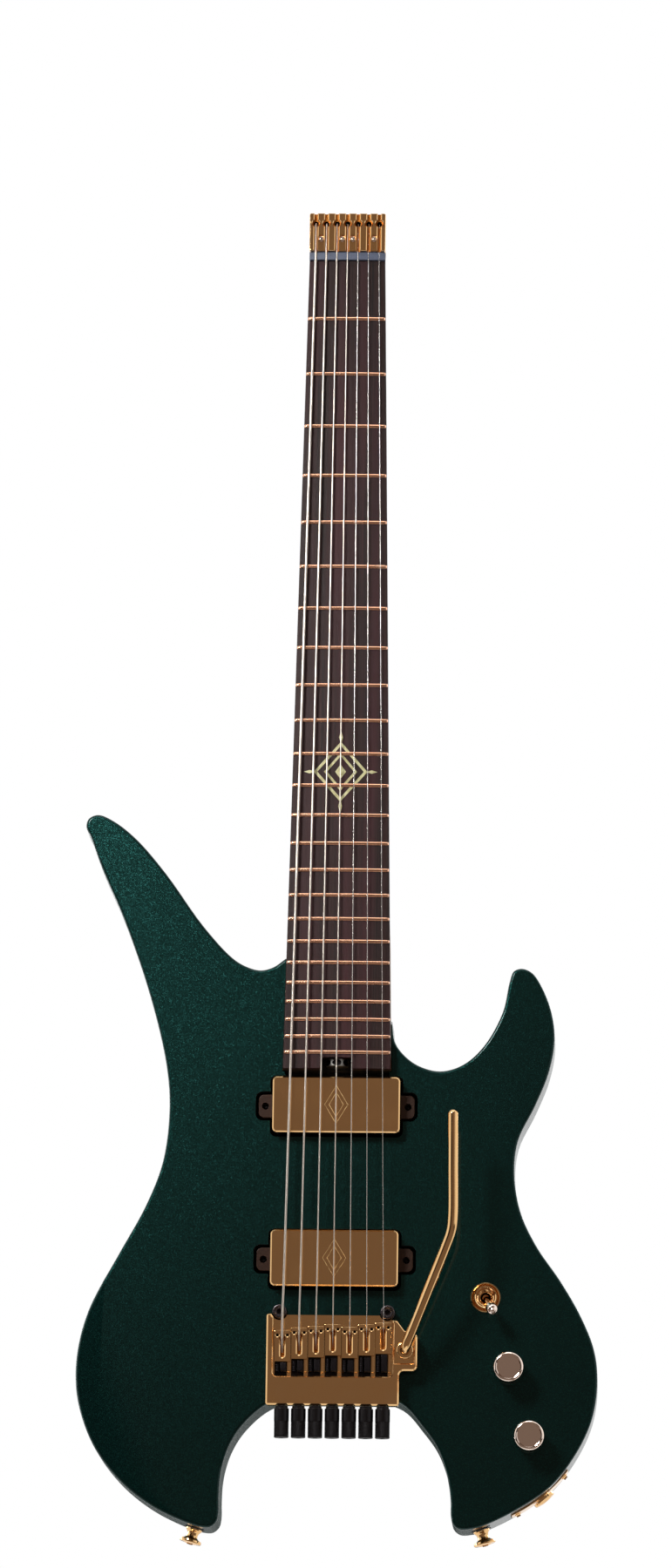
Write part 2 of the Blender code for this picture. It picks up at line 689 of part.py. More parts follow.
def control_cavity(margin):
    """The control cavity's rounded outline, grown outwards by a margin."""
    middle = Vector((0, 0))
    for point in CONTROL_CAVITY:
        middle += Vector(point) / len(CONTROL_CAVITY)
    grown = [Vector(point) + (Vector(point) - middle).normalized() * margin for point in CONTROL_CAVITY]
    return rounded(grown, CONTROL_CORNER, 2)


def cavity(outline, depth):
    """A hollow from the body's back face, this deep."""
    return slab(outline, -BODY_THICKNESS - GAP, -BODY_THICKNESS + depth)


def small_holes():
    """Holes for the posts, the pots, the switch, the claw's screws and the strap buttons' screws."""
    inward = Vector((0, 1, 0))
    for side in (-1, 1):
        base = at(side * POST_SPACING / 2, GAP, POST_Z)
        yield rod(POST_RADIUS + GAP, base, inward, POST_DEPTH + 2 * GAP)
        base = claw_screw_place(side, SPRING_CAVITY_TOP_Z - RUNNING_GAP)
        yield rod(CLAW_SCREW_RADIUS + GAP, base, (0, 0, 1), CLAW_SCREW_BITE + 2 * RUNNING_GAP, 8)
    for _name, x, z in KNOB_PLACES:
        yield rod(POT_BUSH_RADIUS + GAP, at(x, GAP, z), inward, CONTROL_WALL + 2 * RUNNING_GAP)
    switch_hole = SWITCH_HOLE_RADIUS + SWITCH_BARREL_WALL + GAP
    yield rod(switch_hole, at(SWITCH_X, GAP, SWITCH_Z), inward, CONTROL_WALL + 2 * RUNNING_GAP, 16)
    for _name, base, axis in strap_buttons():
        yield rod(BUTTON_SCREW_RADIUS + GAP, base + axis * GAP, -axis, BUTTON_SCREW_LENGTH + 2 * GAP, 8)


def build_neck():
    """The neck's wood: a rounded back from the headpiece to the heel, and a square heel in the pocket."""
    heel_top = BOARD_END_Z + HEEL_LENGTH
    heel_depth = HEEL_POCKET_DEPTH + NECK_TOP
    stations = [
        (BOARD_END_Z, heel_depth, HEEL_SQUARENESS),
        (heel_top, heel_depth, HEEL_TOP_SQUARENESS),
        (heel_top + HEEL_BLEND * BLEND_SHARE, (heel_depth + NECK_DEPTH_AT_HEEL) / 2, BLEND_SQUARENESS),
    ]
    shaft_start, shaft_end = heel_top + HEEL_BLEND, NUT_Z
    for step in range(SHAFT_STEPS + 1):
        share = step / SHAFT_STEPS
        depth = NECK_DEPTH_AT_HEEL + (NECK_DEPTH_AT_NUT - NECK_DEPTH_AT_HEEL) * share
        stations.append((shaft_start + (shaft_end - shaft_start) * share, depth, SHAFT_SQUARENESS))
    stations.append((HEAD_END_Z, NECK_DEPTH_AT_NUT, HEAD_SQUARENESS))
    bm = loft([neck_ring(*station) for station in stations])
    neck = add_object("neck", bm, NECK_WOOD)
    cut(neck, rod_channel(GAP), "cut_rod_channel")
    cut(neck, wheel_room(), "cut_wheel_room")


def neck_ring(z, depth, squareness):
    """Half a superellipse under a flat top; the higher the squareness, the squarer its corners."""
    half_width = board_half_width(z) if z <= NUT_Z else HEADPIECE_WIDTH / 2
    quarter = []
    for step in range(NECK_STEPS + 1):
        angle = math.pi / 2 * step / NECK_STEPS
        across = round(math.cos(angle), 9) ** (2 / squareness)
        down = math.sin(angle) ** (2 / squareness)
        quarter.append((half_width * across, NECK_TOP - depth * down))
    treble = [at(x, height, z) for x, height in quarter]
    bass = [at(-x, height, z) for x, height in quarter[:-1]]
    return treble + bass[::-1]


def rod_channel(clearance):
    half = ROD_RADIUS + clearance
    low = BOARD_END_Z + WHEEL_NOTCH_LENGTH - GAP
    high = NUT_Z - ROD_TOP_MARGIN + clearance
    return box(-half, half, NECK_TOP - ROD_DEPTH - half, NECK_TOP + GAP, low, high)


def wheel_room():
    half = WHEEL_NOTCH_WIDTH / 2
    bottom = WHEEL_HEIGHT - WHEEL_RADIUS - RUNNING_GAP
    low, high = BOARD_END_Z - GAP, BOARD_END_Z + WHEEL_NOTCH_LENGTH
    return box(-half, half, bottom, FRETBOARD_HEIGHT + FRET_HEIGHT, low, high)


def build_truss_rod():
    """The adjusting rod in its channel under the fretboard, and the spoked wheel that turns it."""
    height = NECK_TOP - ROD_DEPTH
    low = BOARD_END_Z + WHEEL_NOTCH_LENGTH
    base = at(0, height, low)
    add_object("truss_rod", rod(ROD_RADIUS, base, (0, 0, 1), NUT_Z - ROD_TOP_MARGIN - low, 10), STEEL)
    wheel_top = low - GAP
    outline = []
    for step in range(WHEEL_SPOKES * 4):
        angle = 2 * math.pi * step / (WHEEL_SPOKES * 4)
        radius = WHEEL_RADIUS if step % 4 < 2 else WHEEL_WAIST_RADIUS
        outline.append(at(radius * math.cos(angle), WHEEL_HEIGHT + radius * math.sin(angle), wheel_top))
    lower = [point - Vector((0, 0, WHEEL_THICKNESS)) for point in outline]
    add_object("truss_wheel", loft([outline, lower]), BLACK_METAL, at(0, WHEEL_HEIGHT, wheel_top))


def build_fretboard():
    """The fretboard with its frets: rows of points across it, raised over each fret."""
    rows = [(NUT_Z - GAP, 0)]
    for number in range(1, FRET_COUNT + 1):
        z = fret_z(number)
        rows.append((z + FRET_WIDTH / 2, 0))
        rows.append((z + FRET_CROWN / 2, FRET_HEIGHT))
        rows.append((z - FRET_CROWN / 2, FRET_HEIGHT))
        rows.append((z - FRET_WIDTH / 2, 0))
    rows.append((BOARD_END_Z, 0))
    bm = loft([board_ring(z, rise) for z, rise in rows])
    board = add_object("fretboard", bm, ROSEWOOD)
    cut(board, wheel_room(), "cut_wheel_notch")


def board_ring(z, rise):
    half = board_half_width(z)
    bottom = FRETBOARD_HEIGHT - FRETBOARD_THICKNESS
    ring = [at(half, bottom, z), at(-half, bottom, z)]
    for step in range(BOARD_STEPS + 1):
        x = -half + 2 * half * step / BOARD_STEPS
        ring.append(at(x, FRETBOARD_HEIGHT - crown_drop(x) + rise, z))
    return ring


def build_nut():
    low, high = NUT_Z, NUT_Z + NUT_LENGTH
    half = FRETBOARD_NUT_WIDTH / 2
    rings = []
    for z in (low, high):
        ring = [at(half, NECK_TOP + GAP, z), at(-half, NECK_TOP + GAP, z)]
        for step in range(BOARD_STEPS + 1):
            x = -half + 2 * half * step / BOARD_STEPS
            ring.append(at(x, FRETBOARD_HEIGHT - crown_drop(x) + NUT_ABOVE_BOARD, z))
        rings.append(ring)
    add_object("nut", loft(rings), GRAPHITE)


def build_headpiece():
    """The block that clamps the strings past the nut, with a keyhole slot for each string."""
    low = NUT_Z + NUT_LENGTH + GAP
    middle = low + HEADPIECE_LENGTH / 2
    top = string_height(0, NUT_Z) + HEADPIECE_ABOVE_STRINGS
    outline = rounded_rectangle(0, middle, HEADPIECE_WIDTH, HEADPIECE_LENGTH, HEADPIECE_BEVEL, 2)
    bm = slab(outline, NECK_TOP + GAP, top)
    bevel_face_rim(bm, top, HEADPIECE_BEVEL)
    block = add_object("headpiece", bm, GOLD)
    slots = [headpiece_slot(index, low, top) for index in range(STRING_COUNT)]
    cut(block, joined(slots), "cut_string_slots")


def headpiece_slot(index, low, top):
    x = string_x(index, NUT_Z)
    half = HEADPIECE_SLOT / 2
    outline = [(x - half, low - GAP), (x + half, low - GAP), *keyhole_side(x, 1)]
    outline += [(x + half, HEAD_END_Z + GAP), (x - half, HEAD_END_Z + GAP), *reversed(keyhole_side(x, -1))]
    floor = string_height(index, NUT_Z) - STRING_RADII[index] - GAP
    return slab(outline, floor, top + GAP)


def keyhole_side(x, side):
    """The arc by which a string's slot widens to its round hole on one side, from below upwards."""
    start = math.acos(HEADPIECE_SLOT / 2 / HEADPIECE_HOLE_RADIUS)
    arc = []
    for step in range(KEYHOLE_STEPS + 1):
        angle = start * (2 * step / KEYHOLE_STEPS - 1)
        reach = Vector((side * math.cos(angle), math.sin(angle))) * HEADPIECE_HOLE_RADIUS
        arc.append((x + reach.x, headpiece_hole_z() + reach.y))
    return arc


def headpiece_hole_z():
    return HEAD_END_Z - HEADPIECE_HOLE_FROM_END


def saddle_nose_z(index):
    """Where the string leaves its saddle."""
    return BRIDGE_LINE_Z - INTONATION[index]


def saddle_span(index):
    front = saddle_nose_z(index) + SADDLE_FRONT
    return front - SADDLE_LENGTH, front


def build_strings():
    """Each string runs straight from the headpiece to its saddle, then down into the saddle's slot."""
    for index in range(STRING_COUNT):
        nose = saddle_nose_z(index)
        rear = saddle_span(index)[0]
        radius = STRING_RADII[index]
        end_z = rear + SADDLE_SLOT_FROM_REAR + RUNNING_GAP + radius
        start_z = headpiece_hole_z()
        slot_z = nose - SADDLE_SLOT_FROM_NOSE - RUNNING_GAP
        x = string_x(index, nose)
        slot_height = saddle_floor() + GAP + radius
        points = (
            at(string_x(index, NUT_Z), string_height(index, NUT_Z), start_z),
            at(string_x(index, NUT_Z), string_height(index, NUT_Z), NUT_Z + NUT_LENGTH / 2),
            at(x, string_height(index, nose), nose),
            at(x, string_height(index, nose) - SADDLE_NOSE / 4, slot_z + RUNNING_GAP),
            at(x, (string_height(index, nose) + slot_height) / 2, (slot_z + end_z) / 2),
            at(x, slot_height, end_z),
        )
        tube(f"string_{index + 1}", points, [radius] * len(points), STRING_STEEL)


def saddle_floor():
    return PLATE_TOP + GAP + SADDLE_FLOOR


def build_saddles():
    """Seven saddles side by side, each with a nose that its string leaves and a slot behind it."""
    for index in range(STRING_COUNT):
        rear, front = saddle_span(index)
        nose = saddle_nose_z(index)
        x = string_share(index) * BRIDGE_SPREAD
        half = SADDLE_PITCH / 2 - GAP / 2
        bottom = PLATE_TOP + GAP
        crest = string_height(index, nose) - STRING_RADII[index] - GAP
        profile = (
            (rear, bottom), (front, bottom), (front, crest - SADDLE_NOSE),
            (nose + SADDLE_FRONT / 2, crest - SADDLE_NOSE_ROUND), (nose - SADDLE_FRONT, crest),
            (nose - SADDLE_SLOT_FROM_NOSE, crest - SADDLE_NOSE / 2), (rear, crest - SADDLE_REAR_DROP),
        )
        origin = at(x, bottom, nose)
        name = f"saddle_{index + 1}"
        saddle = add_object(name, side_slab(profile, x - half, x + half), GOLD, origin, TREMOLO)
        slot = box(
            x - SADDLE_SLOT / 2, x + SADDLE_SLOT / 2, saddle_floor(), crest + GAP,
            rear + SADDLE_SLOT_FROM_REAR, nose - SADDLE_SLOT_FROM_NOSE + SADDLE_SLOT_PAST,
        )
        cut(saddle, slot, f"cut_{name}")


def build_tremolo_plate():
    """The base plate: side walls, the apron that carries the tuners, and the bracket for the arm."""
    left, right = -HALF_PLATE, HALF_PLATE
    reach = right + BRACKET_REACH
    bracket_low = BRACKET_TOP_Z - BRACKET_LENGTH
    corner, fillet = BRACKET_CORNER, BRACKET_CORNER * CORNER_SHARE
    notch = POST_RADIUS + KNIFE_CLEARANCE
    post = POST_SPACING / 2
    outline = [
        (left + PLATE_CORNER, PLATE_END_Z), (right - PLATE_CORNER, PLATE_END_Z),
        (right, PLATE_END_Z + PLATE_CORNER), (right, bracket_low - corner),
        (right + fillet, bracket_low - fillet), (right + corner, bracket_low),
        (reach - corner, bracket_low), (reach - fillet, bracket_low + fillet),
        (reach, bracket_low + corner), (reach, BRACKET_TOP_Z - corner), (reach - corner, BRACKET_TOP_Z),
        (right + corner, BRACKET_TOP_Z + BRACKET_RISE), (right - PLATE_SHOULDER, PLATE_TOP_Z - PLATE_STEP),
        (right - 2 * PLATE_SHOULDER, PLATE_TOP_Z - PLATE_STEP),
    ]
    outline += notch_arc(post, notch, TREBLE_NOTCH_START, NOTCH_END)
    outline += notch_arc(-post, notch, BASS_NOTCH_START, NOTCH_END)
    outline += [
        (left + PLATE_CORNER, PLATE_TOP_Z), (left, PLATE_TOP_Z - PLATE_CORNER),
        (left, PLATE_END_Z + PLATE_CORNER),
    ]
    bm = slab(outline, PLATE_BOTTOM, PLATE_RIM_TOP)
    bevel_face_rim(bm, PLATE_RIM_TOP, PLATE_BEVEL)
    plate = add_object("trem_plate", bm, GOLD, PIVOT, TREMOLO)
    cut(plate, saddle_bay(), "cut_saddle_bay")
    bores = []
    for index in range(STRING_COUNT):
        base = tuner_place(index, PLATE_END_Z - GAP)
        bores.append(rod(TUNER_SHAFT_RADIUS + GAP, base, (0, 0, 1), APRON_LENGTH + 2 * GAP, 8))
    cut(plate, joined(bores), "cut_tuner_bores")
    arm_bore = rod(ARM_SHANK_RADIUS + GAP, at(ARM_X, PLATE_RIM_TOP + GAP, ARM_Z), (0, 1, 0), PLATE_RIM_TOP)
    cut(plate, arm_bore, "cut_arm_bore")


def notch_arc(x, radius, start, end):
    """The round notch in the plate's edge that bears on a post."""
    steps = 5
    points = []
    for step in range(steps + 1):
        angle = start + (end - start) * step / steps
        points.append((x + radius * math.cos(angle), POST_Z + radius * math.sin(angle)))
    return points


def saddle_bay():
    half = HALF_PLATE - PLATE_WALL
    low = PLATE_END_Z + APRON_LENGTH
    arc = [(BAY_CORNER * (1 - math.cos(angle)), BAY_CORNER * (1 - math.sin(angle)))
           for angle in (0, math.pi / 6, math.pi / 3, math.pi / 2)]
    outline = [(-half + inset, low + rise) for inset, rise in arc]
    outline += [(half - inset, low + rise) for inset, rise in reversed(arc)]
    outline += [(half, PLATE_TOP_Z + 2 * RUNNING_GAP), (-half, PLATE_TOP_Z + 2 * RUNNING_GAP)]
    return slab(outline, PLATE_TOP, PLATE_RIM_TOP + RUNNING_GAP)


def tuner_place(index, z):
    return at(string_share(index) * BRIDGE_SPREAD, TUNER_HEIGHT, z)


def build_tuners():
    """The tuning knobs past the end of the apron, each with the threaded shaft that pulls its string."""
    start = -RUNNING_GAP
    end = start - TUNER_LENGTH
    shoulder = start - TUNER_NECK_LENGTH
    inner = APRON_LENGTH + TUNER_SHAFT_PAST_APRON
    profile = (
        (0, inner), (TUNER_SHAFT_RADIUS, inner), (TUNER_SHAFT_RADIUS, start), (TUNER_NECK_RADIUS, start),
        (TUNER_NECK_RADIUS, shoulder), (TUNER_RADIUS, shoulder - TUNER_EDGE),
        (TUNER_RADIUS, end + TUNER_EDGE), (TUNER_RADIUS - TUNER_EDGE, end), (0, end),
    )
    for index in range(STRING_COUNT):
        base = tuner_place(index, PLATE_END_Z)
        knob = turned(profile, base, (0, 0, 1), 12)
        add_object(f"tuner_{index + 1}", knob, BLACK_METAL, base, TREMOLO)


def build_tremolo_block():
    top = PLATE_BOTTOM - GAP
    bm = box(-BLOCK_WIDTH / 2, BLOCK_WIDTH / 2, -BLOCK_DEPTH, top, BLOCK_LOW_Z, BLOCK_LOW_Z + BLOCK_LENGTH)
    add_object("trem_block", bm, BRASS, PIVOT, TREMOLO)


def build_posts():
    """Two pivot posts with hex sockets; the plate's knife edges rest in their grooves."""
    groove = POST_GROOVE
    profile = (
        (0, -POST_DEPTH), (POST_RADIUS, -POST_DEPTH), (POST_RADIUS, KNIFE_HEIGHT - 2 * groove),
        (POST_RADIUS - groove, KNIFE_HEIGHT), (POST_RADIUS, KNIFE_HEIGHT + 2 * groove),
        (POST_RADIUS, POST_TOP - groove), (POST_RADIUS - groove, POST_TOP), (POST_SOCKET_RADIUS, POST_TOP),
        (POST_SOCKET_RADIUS, POST_TOP - POST_SOCKET_DEPTH), (0, POST_TOP - POST_SOCKET_DEPTH),
    )
    for name, side in (("bass", -1), ("treble", 1)):
        base = at(side * POST_SPACING / 2, 0, POST_Z)
        add_object(f"pivot_post_{name}", turned(profile, base, (0, -1, 0), 12), BLACK_METAL)


def build_springs():
    """Tremolo springs between the block and the claw, and the claw with its two screws."""
    start = BLOCK_LOW_Z + BLOCK_LENGTH + GAP
    for index in range(SPRING_COUNT):
        x = (index - (SPRING_COUNT - 1) / 2) * SPRING_PITCH
        spring = rod(SPRING_RADIUS, at(x, -SPRING_DEPTH, start), (0, 0, 1), CLAW_Z - GAP - start, 10)
        add_object(f"trem_spring_{index + 1}", spring, STEEL)
    half, low = CLAW_WIDTH / 2, -SPRING_DEPTH - CLAW_HEIGHT / 2
    bm = box(-half, half, low, low + CLAW_HEIGHT, CLAW_Z, CLAW_Z + CLAW_THICKNESS)
    claw = add_object("spring_claw", bm, STEEL)
    bores = []
    for side in (-1, 1):
        base = claw_screw_place(side, CLAW_Z - GAP)
        bores.append(rod(CLAW_SCREW_RADIUS + GAP, base, (0, 0, 1), CLAW_THICKNESS + 2 * GAP, 8))
    cut(claw, joined(bores), "cut_claw_bores")
    head, tip = -CLAW_SCREW_HEAD - GAP, SPRING_CAVITY_TOP_Z + CLAW_SCREW_BITE - CLAW_Z
    profile = (
        (0, head), (CLAW_SCREW_HEAD_RADIUS, head), (CLAW_SCREW_HEAD_RADIUS, -GAP),
        (CLAW_SCREW_RADIUS, -GAP), (CLAW_SCREW_RADIUS, tip), (0, tip),
    )
    for name, side in (("bass", -1), ("treble", 1)):
        screw = turned(profile, claw_screw_place(side, CLAW_Z), (0, 0, 1), 8)
        add_object(f"claw_screw_{name}", screw, STEEL)


def claw_screw_place(side, z):
    return at(side * CLAW_SCREW_X, -SPRING_DEPTH, z)


def build_arm():
    """The tremolo arm: a shank in the bracket, held by a collar, then a bend and a long handle."""
    top = PLATE_RIM_TOP
    foot = at(ARM_X, top, ARM_Z)
    path = smooth_path([foot + Vector((x, -rise, z)) for x, rise, z in ARM_PATH], ARM_STEPS)
    end = path[-1]
    direction = (path[-1] - path[-2]).normalized()
    points = [at(ARM_X, top - ARM_SHANK_LENGTH, ARM_Z), at(ARM_X, top + COLLAR_HEIGHT, ARM_Z)]
    radii = [ARM_SHANK_RADIUS, ARM_SHANK_RADIUS]
    points += path
    radii += [ARM_RADIUS] * len(path)
    for reach, radius in ARM_TIP:
        points.append(end + direction * reach)
        radii.append(radius)
    tube("trem_arm", points, radii, GOLD, 2, foot, TREMOLO)
    bore = ARM_SHANK_RADIUS + GAP
    profile = (
        (bore, GAP), (COLLAR_RADIUS, GAP), (COLLAR_RADIUS, COLLAR_HEIGHT - COLLAR_EDGE),
        (COLLAR_RADIUS - COLLAR_EDGE, COLLAR_HEIGHT), (bore, COLLAR_HEIGHT),
    )
    add_object("arm_collar", turned(profile, foot, (0, -1, 0), 12), GOLD, foot, TREMOLO)


def build_pickups():
    for name, z in (("neck", neck_pickup_z()), ("bridge", bridge_pickup_z())):
        build_pickup_cover(name, z)
        build_pickup_base(name, z)


def build_pickup_cover(name, z):
    """A deep-drawn metal cover: open underneath, with a slightly sunk panel inside a raised rim."""
    outline = rounded_rectangle(0, z, PICKUP_WIDTH, PICKUP_LENGTH, PICKUP_CORNER)
    bm = slab(outline, -PICKUP_SKIRT_DEPTH, PICKUP_TOP)
    bevel_face_rim(bm, PICKUP_TOP, PICKUP_EDGE)
    cover = add_object(f"pickup_cover_{name}", bm, GOLD)
    width, length = PICKUP_WIDTH - 2 * PICKUP_WALL, PICKUP_LENGTH - 2 * PICKUP_WALL
    inside = rounded_rectangle(0, z, width, length, PICKUP_CORNER - PICKUP_WALL, 2)
    ceiling = PICKUP_TOP - PICKUP_WALL - PICKUP_RIM_DROP
    cut(cover, slab(inside, -PICKUP_SKIRT_DEPTH - GAP, ceiling), f"cut_{name}_cover_inside")
    width, length = PICKUP_WIDTH - 2 * PICKUP_RIM, PICKUP_LENGTH - 2 * PICKUP_RIM
    panel = rounded_rectangle(0, z, width, length, PICKUP_CORNER - PICKUP_RIM, 2)
    cut(cover, slab(panel, PICKUP_TOP - PICKUP_RIM_DROP, PICKUP_TOP + GAP), f"cut_{name}_cover_panel")


def build_pickup_base(name, z):
    """The moulded base: it fills the cover, stands on the cavity's floor and has an ear at each end."""
    half_width = PICKUP_WIDTH / 2 - PICKUP_WALL - GAP
    half_length = PICKUP_LENGTH / 2 - PICKUP_WALL - GAP
    top = PICKUP_TOP - PICKUP_WALL - PICKUP_RIM_DROP - GAP
    ear_top = -PICKUP_SKIRT_DEPTH - GAP
    half_span = EAR_SPAN / 2
    half_ear = EAR_LENGTH / 2
    cover_edge = PICKUP_WIDTH / 2 + GAP
    corner = PICKUP_CORNER - PICKUP_WALL - GAP
    outline = rounded_rectangle(0, z, 2 * half_width, 2 * half_length, corner, 2)
    base = add_object(f"pickup_base_{name}", slab(outline, -PICKUP_CAVITY_DEPTH + GAP, top), DARK_PLASTIC)
    low = ear_top - EAR_THICKNESS
    outline = (
        (-half_span, low), (half_span, low), (half_span, -EAR_DROP), (cover_edge, -EAR_DROP),
        (cover_edge, ear_top), (-cover_edge, ear_top), (-cover_edge, -EAR_DROP), (-half_span, -EAR_DROP),
    )
    bm = bmesh.new()
    face = bm.faces.new([bm.verts.new(at(x, height, z - half_ear)) for x, height in outline])
    grown = bmesh.ops.extrude_face_region(bm, geom=[face])["geom"]
    moved = [item for item in grown if isinstance(item, bmesh.types.BMVert)]
    bmesh.ops.translate(bm, vec=(0, 0, EAR_LENGTH), verts=moved)
    ears = add_object(f"guide_{name}_ears", bm, GUIDE)
    ears.hide_render = True
    ears.display_type = "WIRE"
    modifier = base.modifiers.new("ears", "BOOLEAN")
    modifier.operation = "UNION"
    modifier.solver = "EXACT"
    modifier.object = ears


def build_controls():
    """Two knobs on their pots, and the pickup switch."""
    outward = Vector((0, -1, 0))
    for name, x, z in KNOB_PLACES:
        base = at(x, 0, z)
        bore = POT_SHAFT_RADIUS + GAP
        top = KNOB_LIFT + KNOB_HEIGHT
        knob = (
            (0, KNOB_LIFT + KNOB_BORE_DEPTH), (bore, KNOB_LIFT + KNOB_BORE_DEPTH), (bore, KNOB_LIFT),
            (KNOB_RADIUS, KNOB_LIFT), (KNOB_RADIUS, top - KNOB_BEVEL_HEIGHT), (KNOB_TOP_RADIUS, top),
            (0, top),
        )
        add_object(f"{name}_knob", turned(knob, base, outward, 20), GOLD, base)
        ceiling = -CONTROL_WALL - GAP
        shaft_end, bush_end = KNOB_LIFT + KNOB_BORE_DEPTH - GAP, KNOB_LIFT - RUNNING_GAP
        pot = (
            (0, shaft_end), (POT_SHAFT_RADIUS, shaft_end), (POT_SHAFT_RADIUS, bush_end),
            (POT_BUSH_RADIUS, bush_end), (POT_BUSH_RADIUS, ceiling), (POT_RADIUS, ceiling),
            (POT_RADIUS, ceiling - POT_HEIGHT), (0, ceiling - POT_HEIGHT),
        )
        add_object(f"{name}_pot", turned(pot, base, outward, 12), STEEL)
    build_switch(outward)


def build_switch(outward):
    base = at(SWITCH_X, 0, SWITCH_Z)
    barrel = SWITCH_HOLE_RADIUS + SWITCH_BARREL_WALL
    ring = (
        (SWITCH_HOLE_RADIUS, -CONTROL_WALL), (barrel, -CONTROL_WALL), (barrel, GAP),
        (SWITCH_RING_RADIUS, GAP), (SWITCH_RING_RADIUS, SWITCH_RING_HEIGHT - SWITCH_RING_EDGE),
        (SWITCH_RING_RADIUS - SWITCH_RING_EDGE, SWITCH_RING_HEIGHT),
        (SWITCH_HOLE_RADIUS, SWITCH_RING_HEIGHT),
    )
    add_object("switch_ring", turned(ring, base, outward, 16), GOLD)
    top = -CONTROL_WALL - GAP
    half = SWITCH_BODY_SIZE / 2
    outline = (
        (SWITCH_X - half, SWITCH_Z - half), (SWITCH_X + half, SWITCH_Z - half),
        (SWITCH_X + half, SWITCH_Z + half), (SWITCH_X - half, SWITCH_Z + half),
    )
    switch = add_object("switch_body", slab(outline, top - SWITCH_BODY_DEPTH, top), DARK_PLASTIC)
    well = rod(SWITCH_HOLE_RADIUS, base - outward * (CONTROL_WALL - GAP), -outward, 2 * SWITCH_BALL_RADIUS)
    cut(switch, well, "cut_switch_well")
    tilt = Vector((math.cos(SWITCH_LEAN), 0, math.sin(SWITCH_LEAN)))
    axis = outward * math.cos(SWITCH_TILT) + tilt * math.sin(SWITCH_TILT)
    pivot = base - outward * SWITCH_PIVOT_DEPTH
    tip, ball, knob = SWITCH_TIP_DISTANCE, SWITCH_BALL_RADIUS, SWITCH_TIP_RADIUS
    slope = math.sqrt(0.5)
    lever = (
        (0, -ball), (ball * slope, -ball * slope), (ball, 0), (SWITCH_LEVER_RADIUS, ball * slope),
        (SWITCH_LEVER_RADIUS, tip - SWITCH_TIP_NECK), (knob * slope, tip - knob), (knob, tip),
        (knob * slope, tip + knob * slope), (0, tip + knob),
    )
    add_object("switch_lever", turned(lever, pivot, axis, 10), GOLD, pivot)


def build_covers():
    """The two flush covers in the back."""
    low = -BODY_THICKNESS
    outline = spring_cavity(COVER_LEDGE - GAP)
    add_object("trem_cover", slab(outline, low, low + COVER_THICKNESS), COVER_PLASTIC)
    outline = control_cavity(COVER_LEDGE - GAP)
    add_object("control_cover", slab(outline, low, low + COVER_THICKNESS), COVER_PLASTIC)


def jack_circle():
    """Centre and radius of the arc that the body's side follows at the jack, and its two end angles."""
    a, b, c = (Vector(point) for point in JACK_ARC)
    twice = 2 * ((b - a).x * (c - a).y - (b - a).y * (c - a).x)
    first, second = (b - a).length_squared, (c - a).length_squared
    offset = Vector(((c - a).y * first - (b - a).y * second, (b - a).x * second - (c - a).x * first)) / twice
    centre = a + offset
    angles = [math.atan2((point - centre).y, (point - centre).x) for point in (a, c)]
    return centre, offset.length, angles


def jack_strip(inner, outer, end_margin, half_height):
    """A strip bent along the arc, between two radii."""
    centre, radius, (start, end) = jack_circle()
    start -= end_margin / radius
    end += end_margin / radius
    steps = 6
    angles = [start + (end - start) * step / steps for step in range(steps + 1)]
    rays = [Vector((math.cos(angle), math.sin(angle))) for angle in angles]
    outline = [tuple(centre + ray * outer) for ray in rays]
    outline += [tuple(centre + ray * inner) for ray in reversed(rays)]
    middle = -BODY_THICKNESS / 2
    return slab(outline, middle - half_height, middle + half_height)


def jack_axis():
    """The point on the plate's outer face where the jack sits, and its outward direction."""
    centre, radius, (start, end) = jack_circle()
    angle = (start + end) / 2
    direction = Vector((math.cos(angle), 0, math.sin(angle)))
    reach = radius + JACK_PLATE_PROUD
    middle = centre + Vector((math.cos(angle), math.sin(angle))) * reach
    return at(middle.x, -BODY_THICKNESS / 2, middle.y), direction


def jack_recess():
    radius = jack_circle()[1]
    inner = radius + JACK_PLATE_PROUD - JACK_PLATE_THICKNESS - GAP
    return jack_strip(inner, radius + 5 * JACK_PLATE_THICKNESS, GAP, JACK_PLATE_HEIGHT / 2 + GAP)


def jack_drill():
    face, outward = jack_axis()
    return rod(JACK_DRILL_RADIUS, face + outward * JACK_NUT_HEIGHT, -outward, JACK_DRILL_LENGTH)


def build_jack():
    radius = jack_circle()[1]
    outer = radius + JACK_PLATE_PROUD
    bm = jack_strip(outer - JACK_PLATE_THICKNESS, outer, 0, JACK_PLATE_HEIGHT / 2)
    plate = add_object("jack_plate", bm, GOLD)
    face, outward = jack_axis()
    depth = JACK_NUT_HEIGHT + 2 * JACK_PLATE_THICKNESS
    cut(plate, rod(JACK_RADIUS + GAP, face + outward * JACK_NUT_HEIGHT, -outward, depth), "cut_jack_hole")
    foot, mouth = RUNNING_GAP, RUNNING_GAP + JACK_NUT_HEIGHT
    profile = (
        (0, -JACK_LENGTH), (JACK_RADIUS, -JACK_LENGTH), (JACK_RADIUS, foot), (JACK_NUT_RADIUS, foot),
        (JACK_NUT_RADIUS, mouth), (JACK_BORE_RADIUS, mouth), (JACK_BORE_RADIUS, mouth - JACK_BORE_DEPTH),
        (0, mouth - JACK_BORE_DEPTH),
    )
    add_object("output_jack", turned(profile, face, outward, 12), GOLD)


def edge_seat(x, z, axis, radius):
    """Slides a point along the axis until a disc of this radius there just touches the body's edge."""
    across = Vector((axis.z, 0, -axis.x))
    start = Vector((x, 0, z))
    spots = [Vector((point_x, 0, point_z)) - start for point_x, point_z in body_outline()]
    reach = []
    for first, second in zip(spots, spots[1:] + spots[:1]):
        for step in range(9):
            spot = first.lerp(second, step / 8)
            if spot.length < 2 * radius and abs(spot.dot(across)) < radius:
                reach.append(spot.dot(axis))
    return at(x, -BODY_THICKNESS / 2, z) + axis * max(reach)


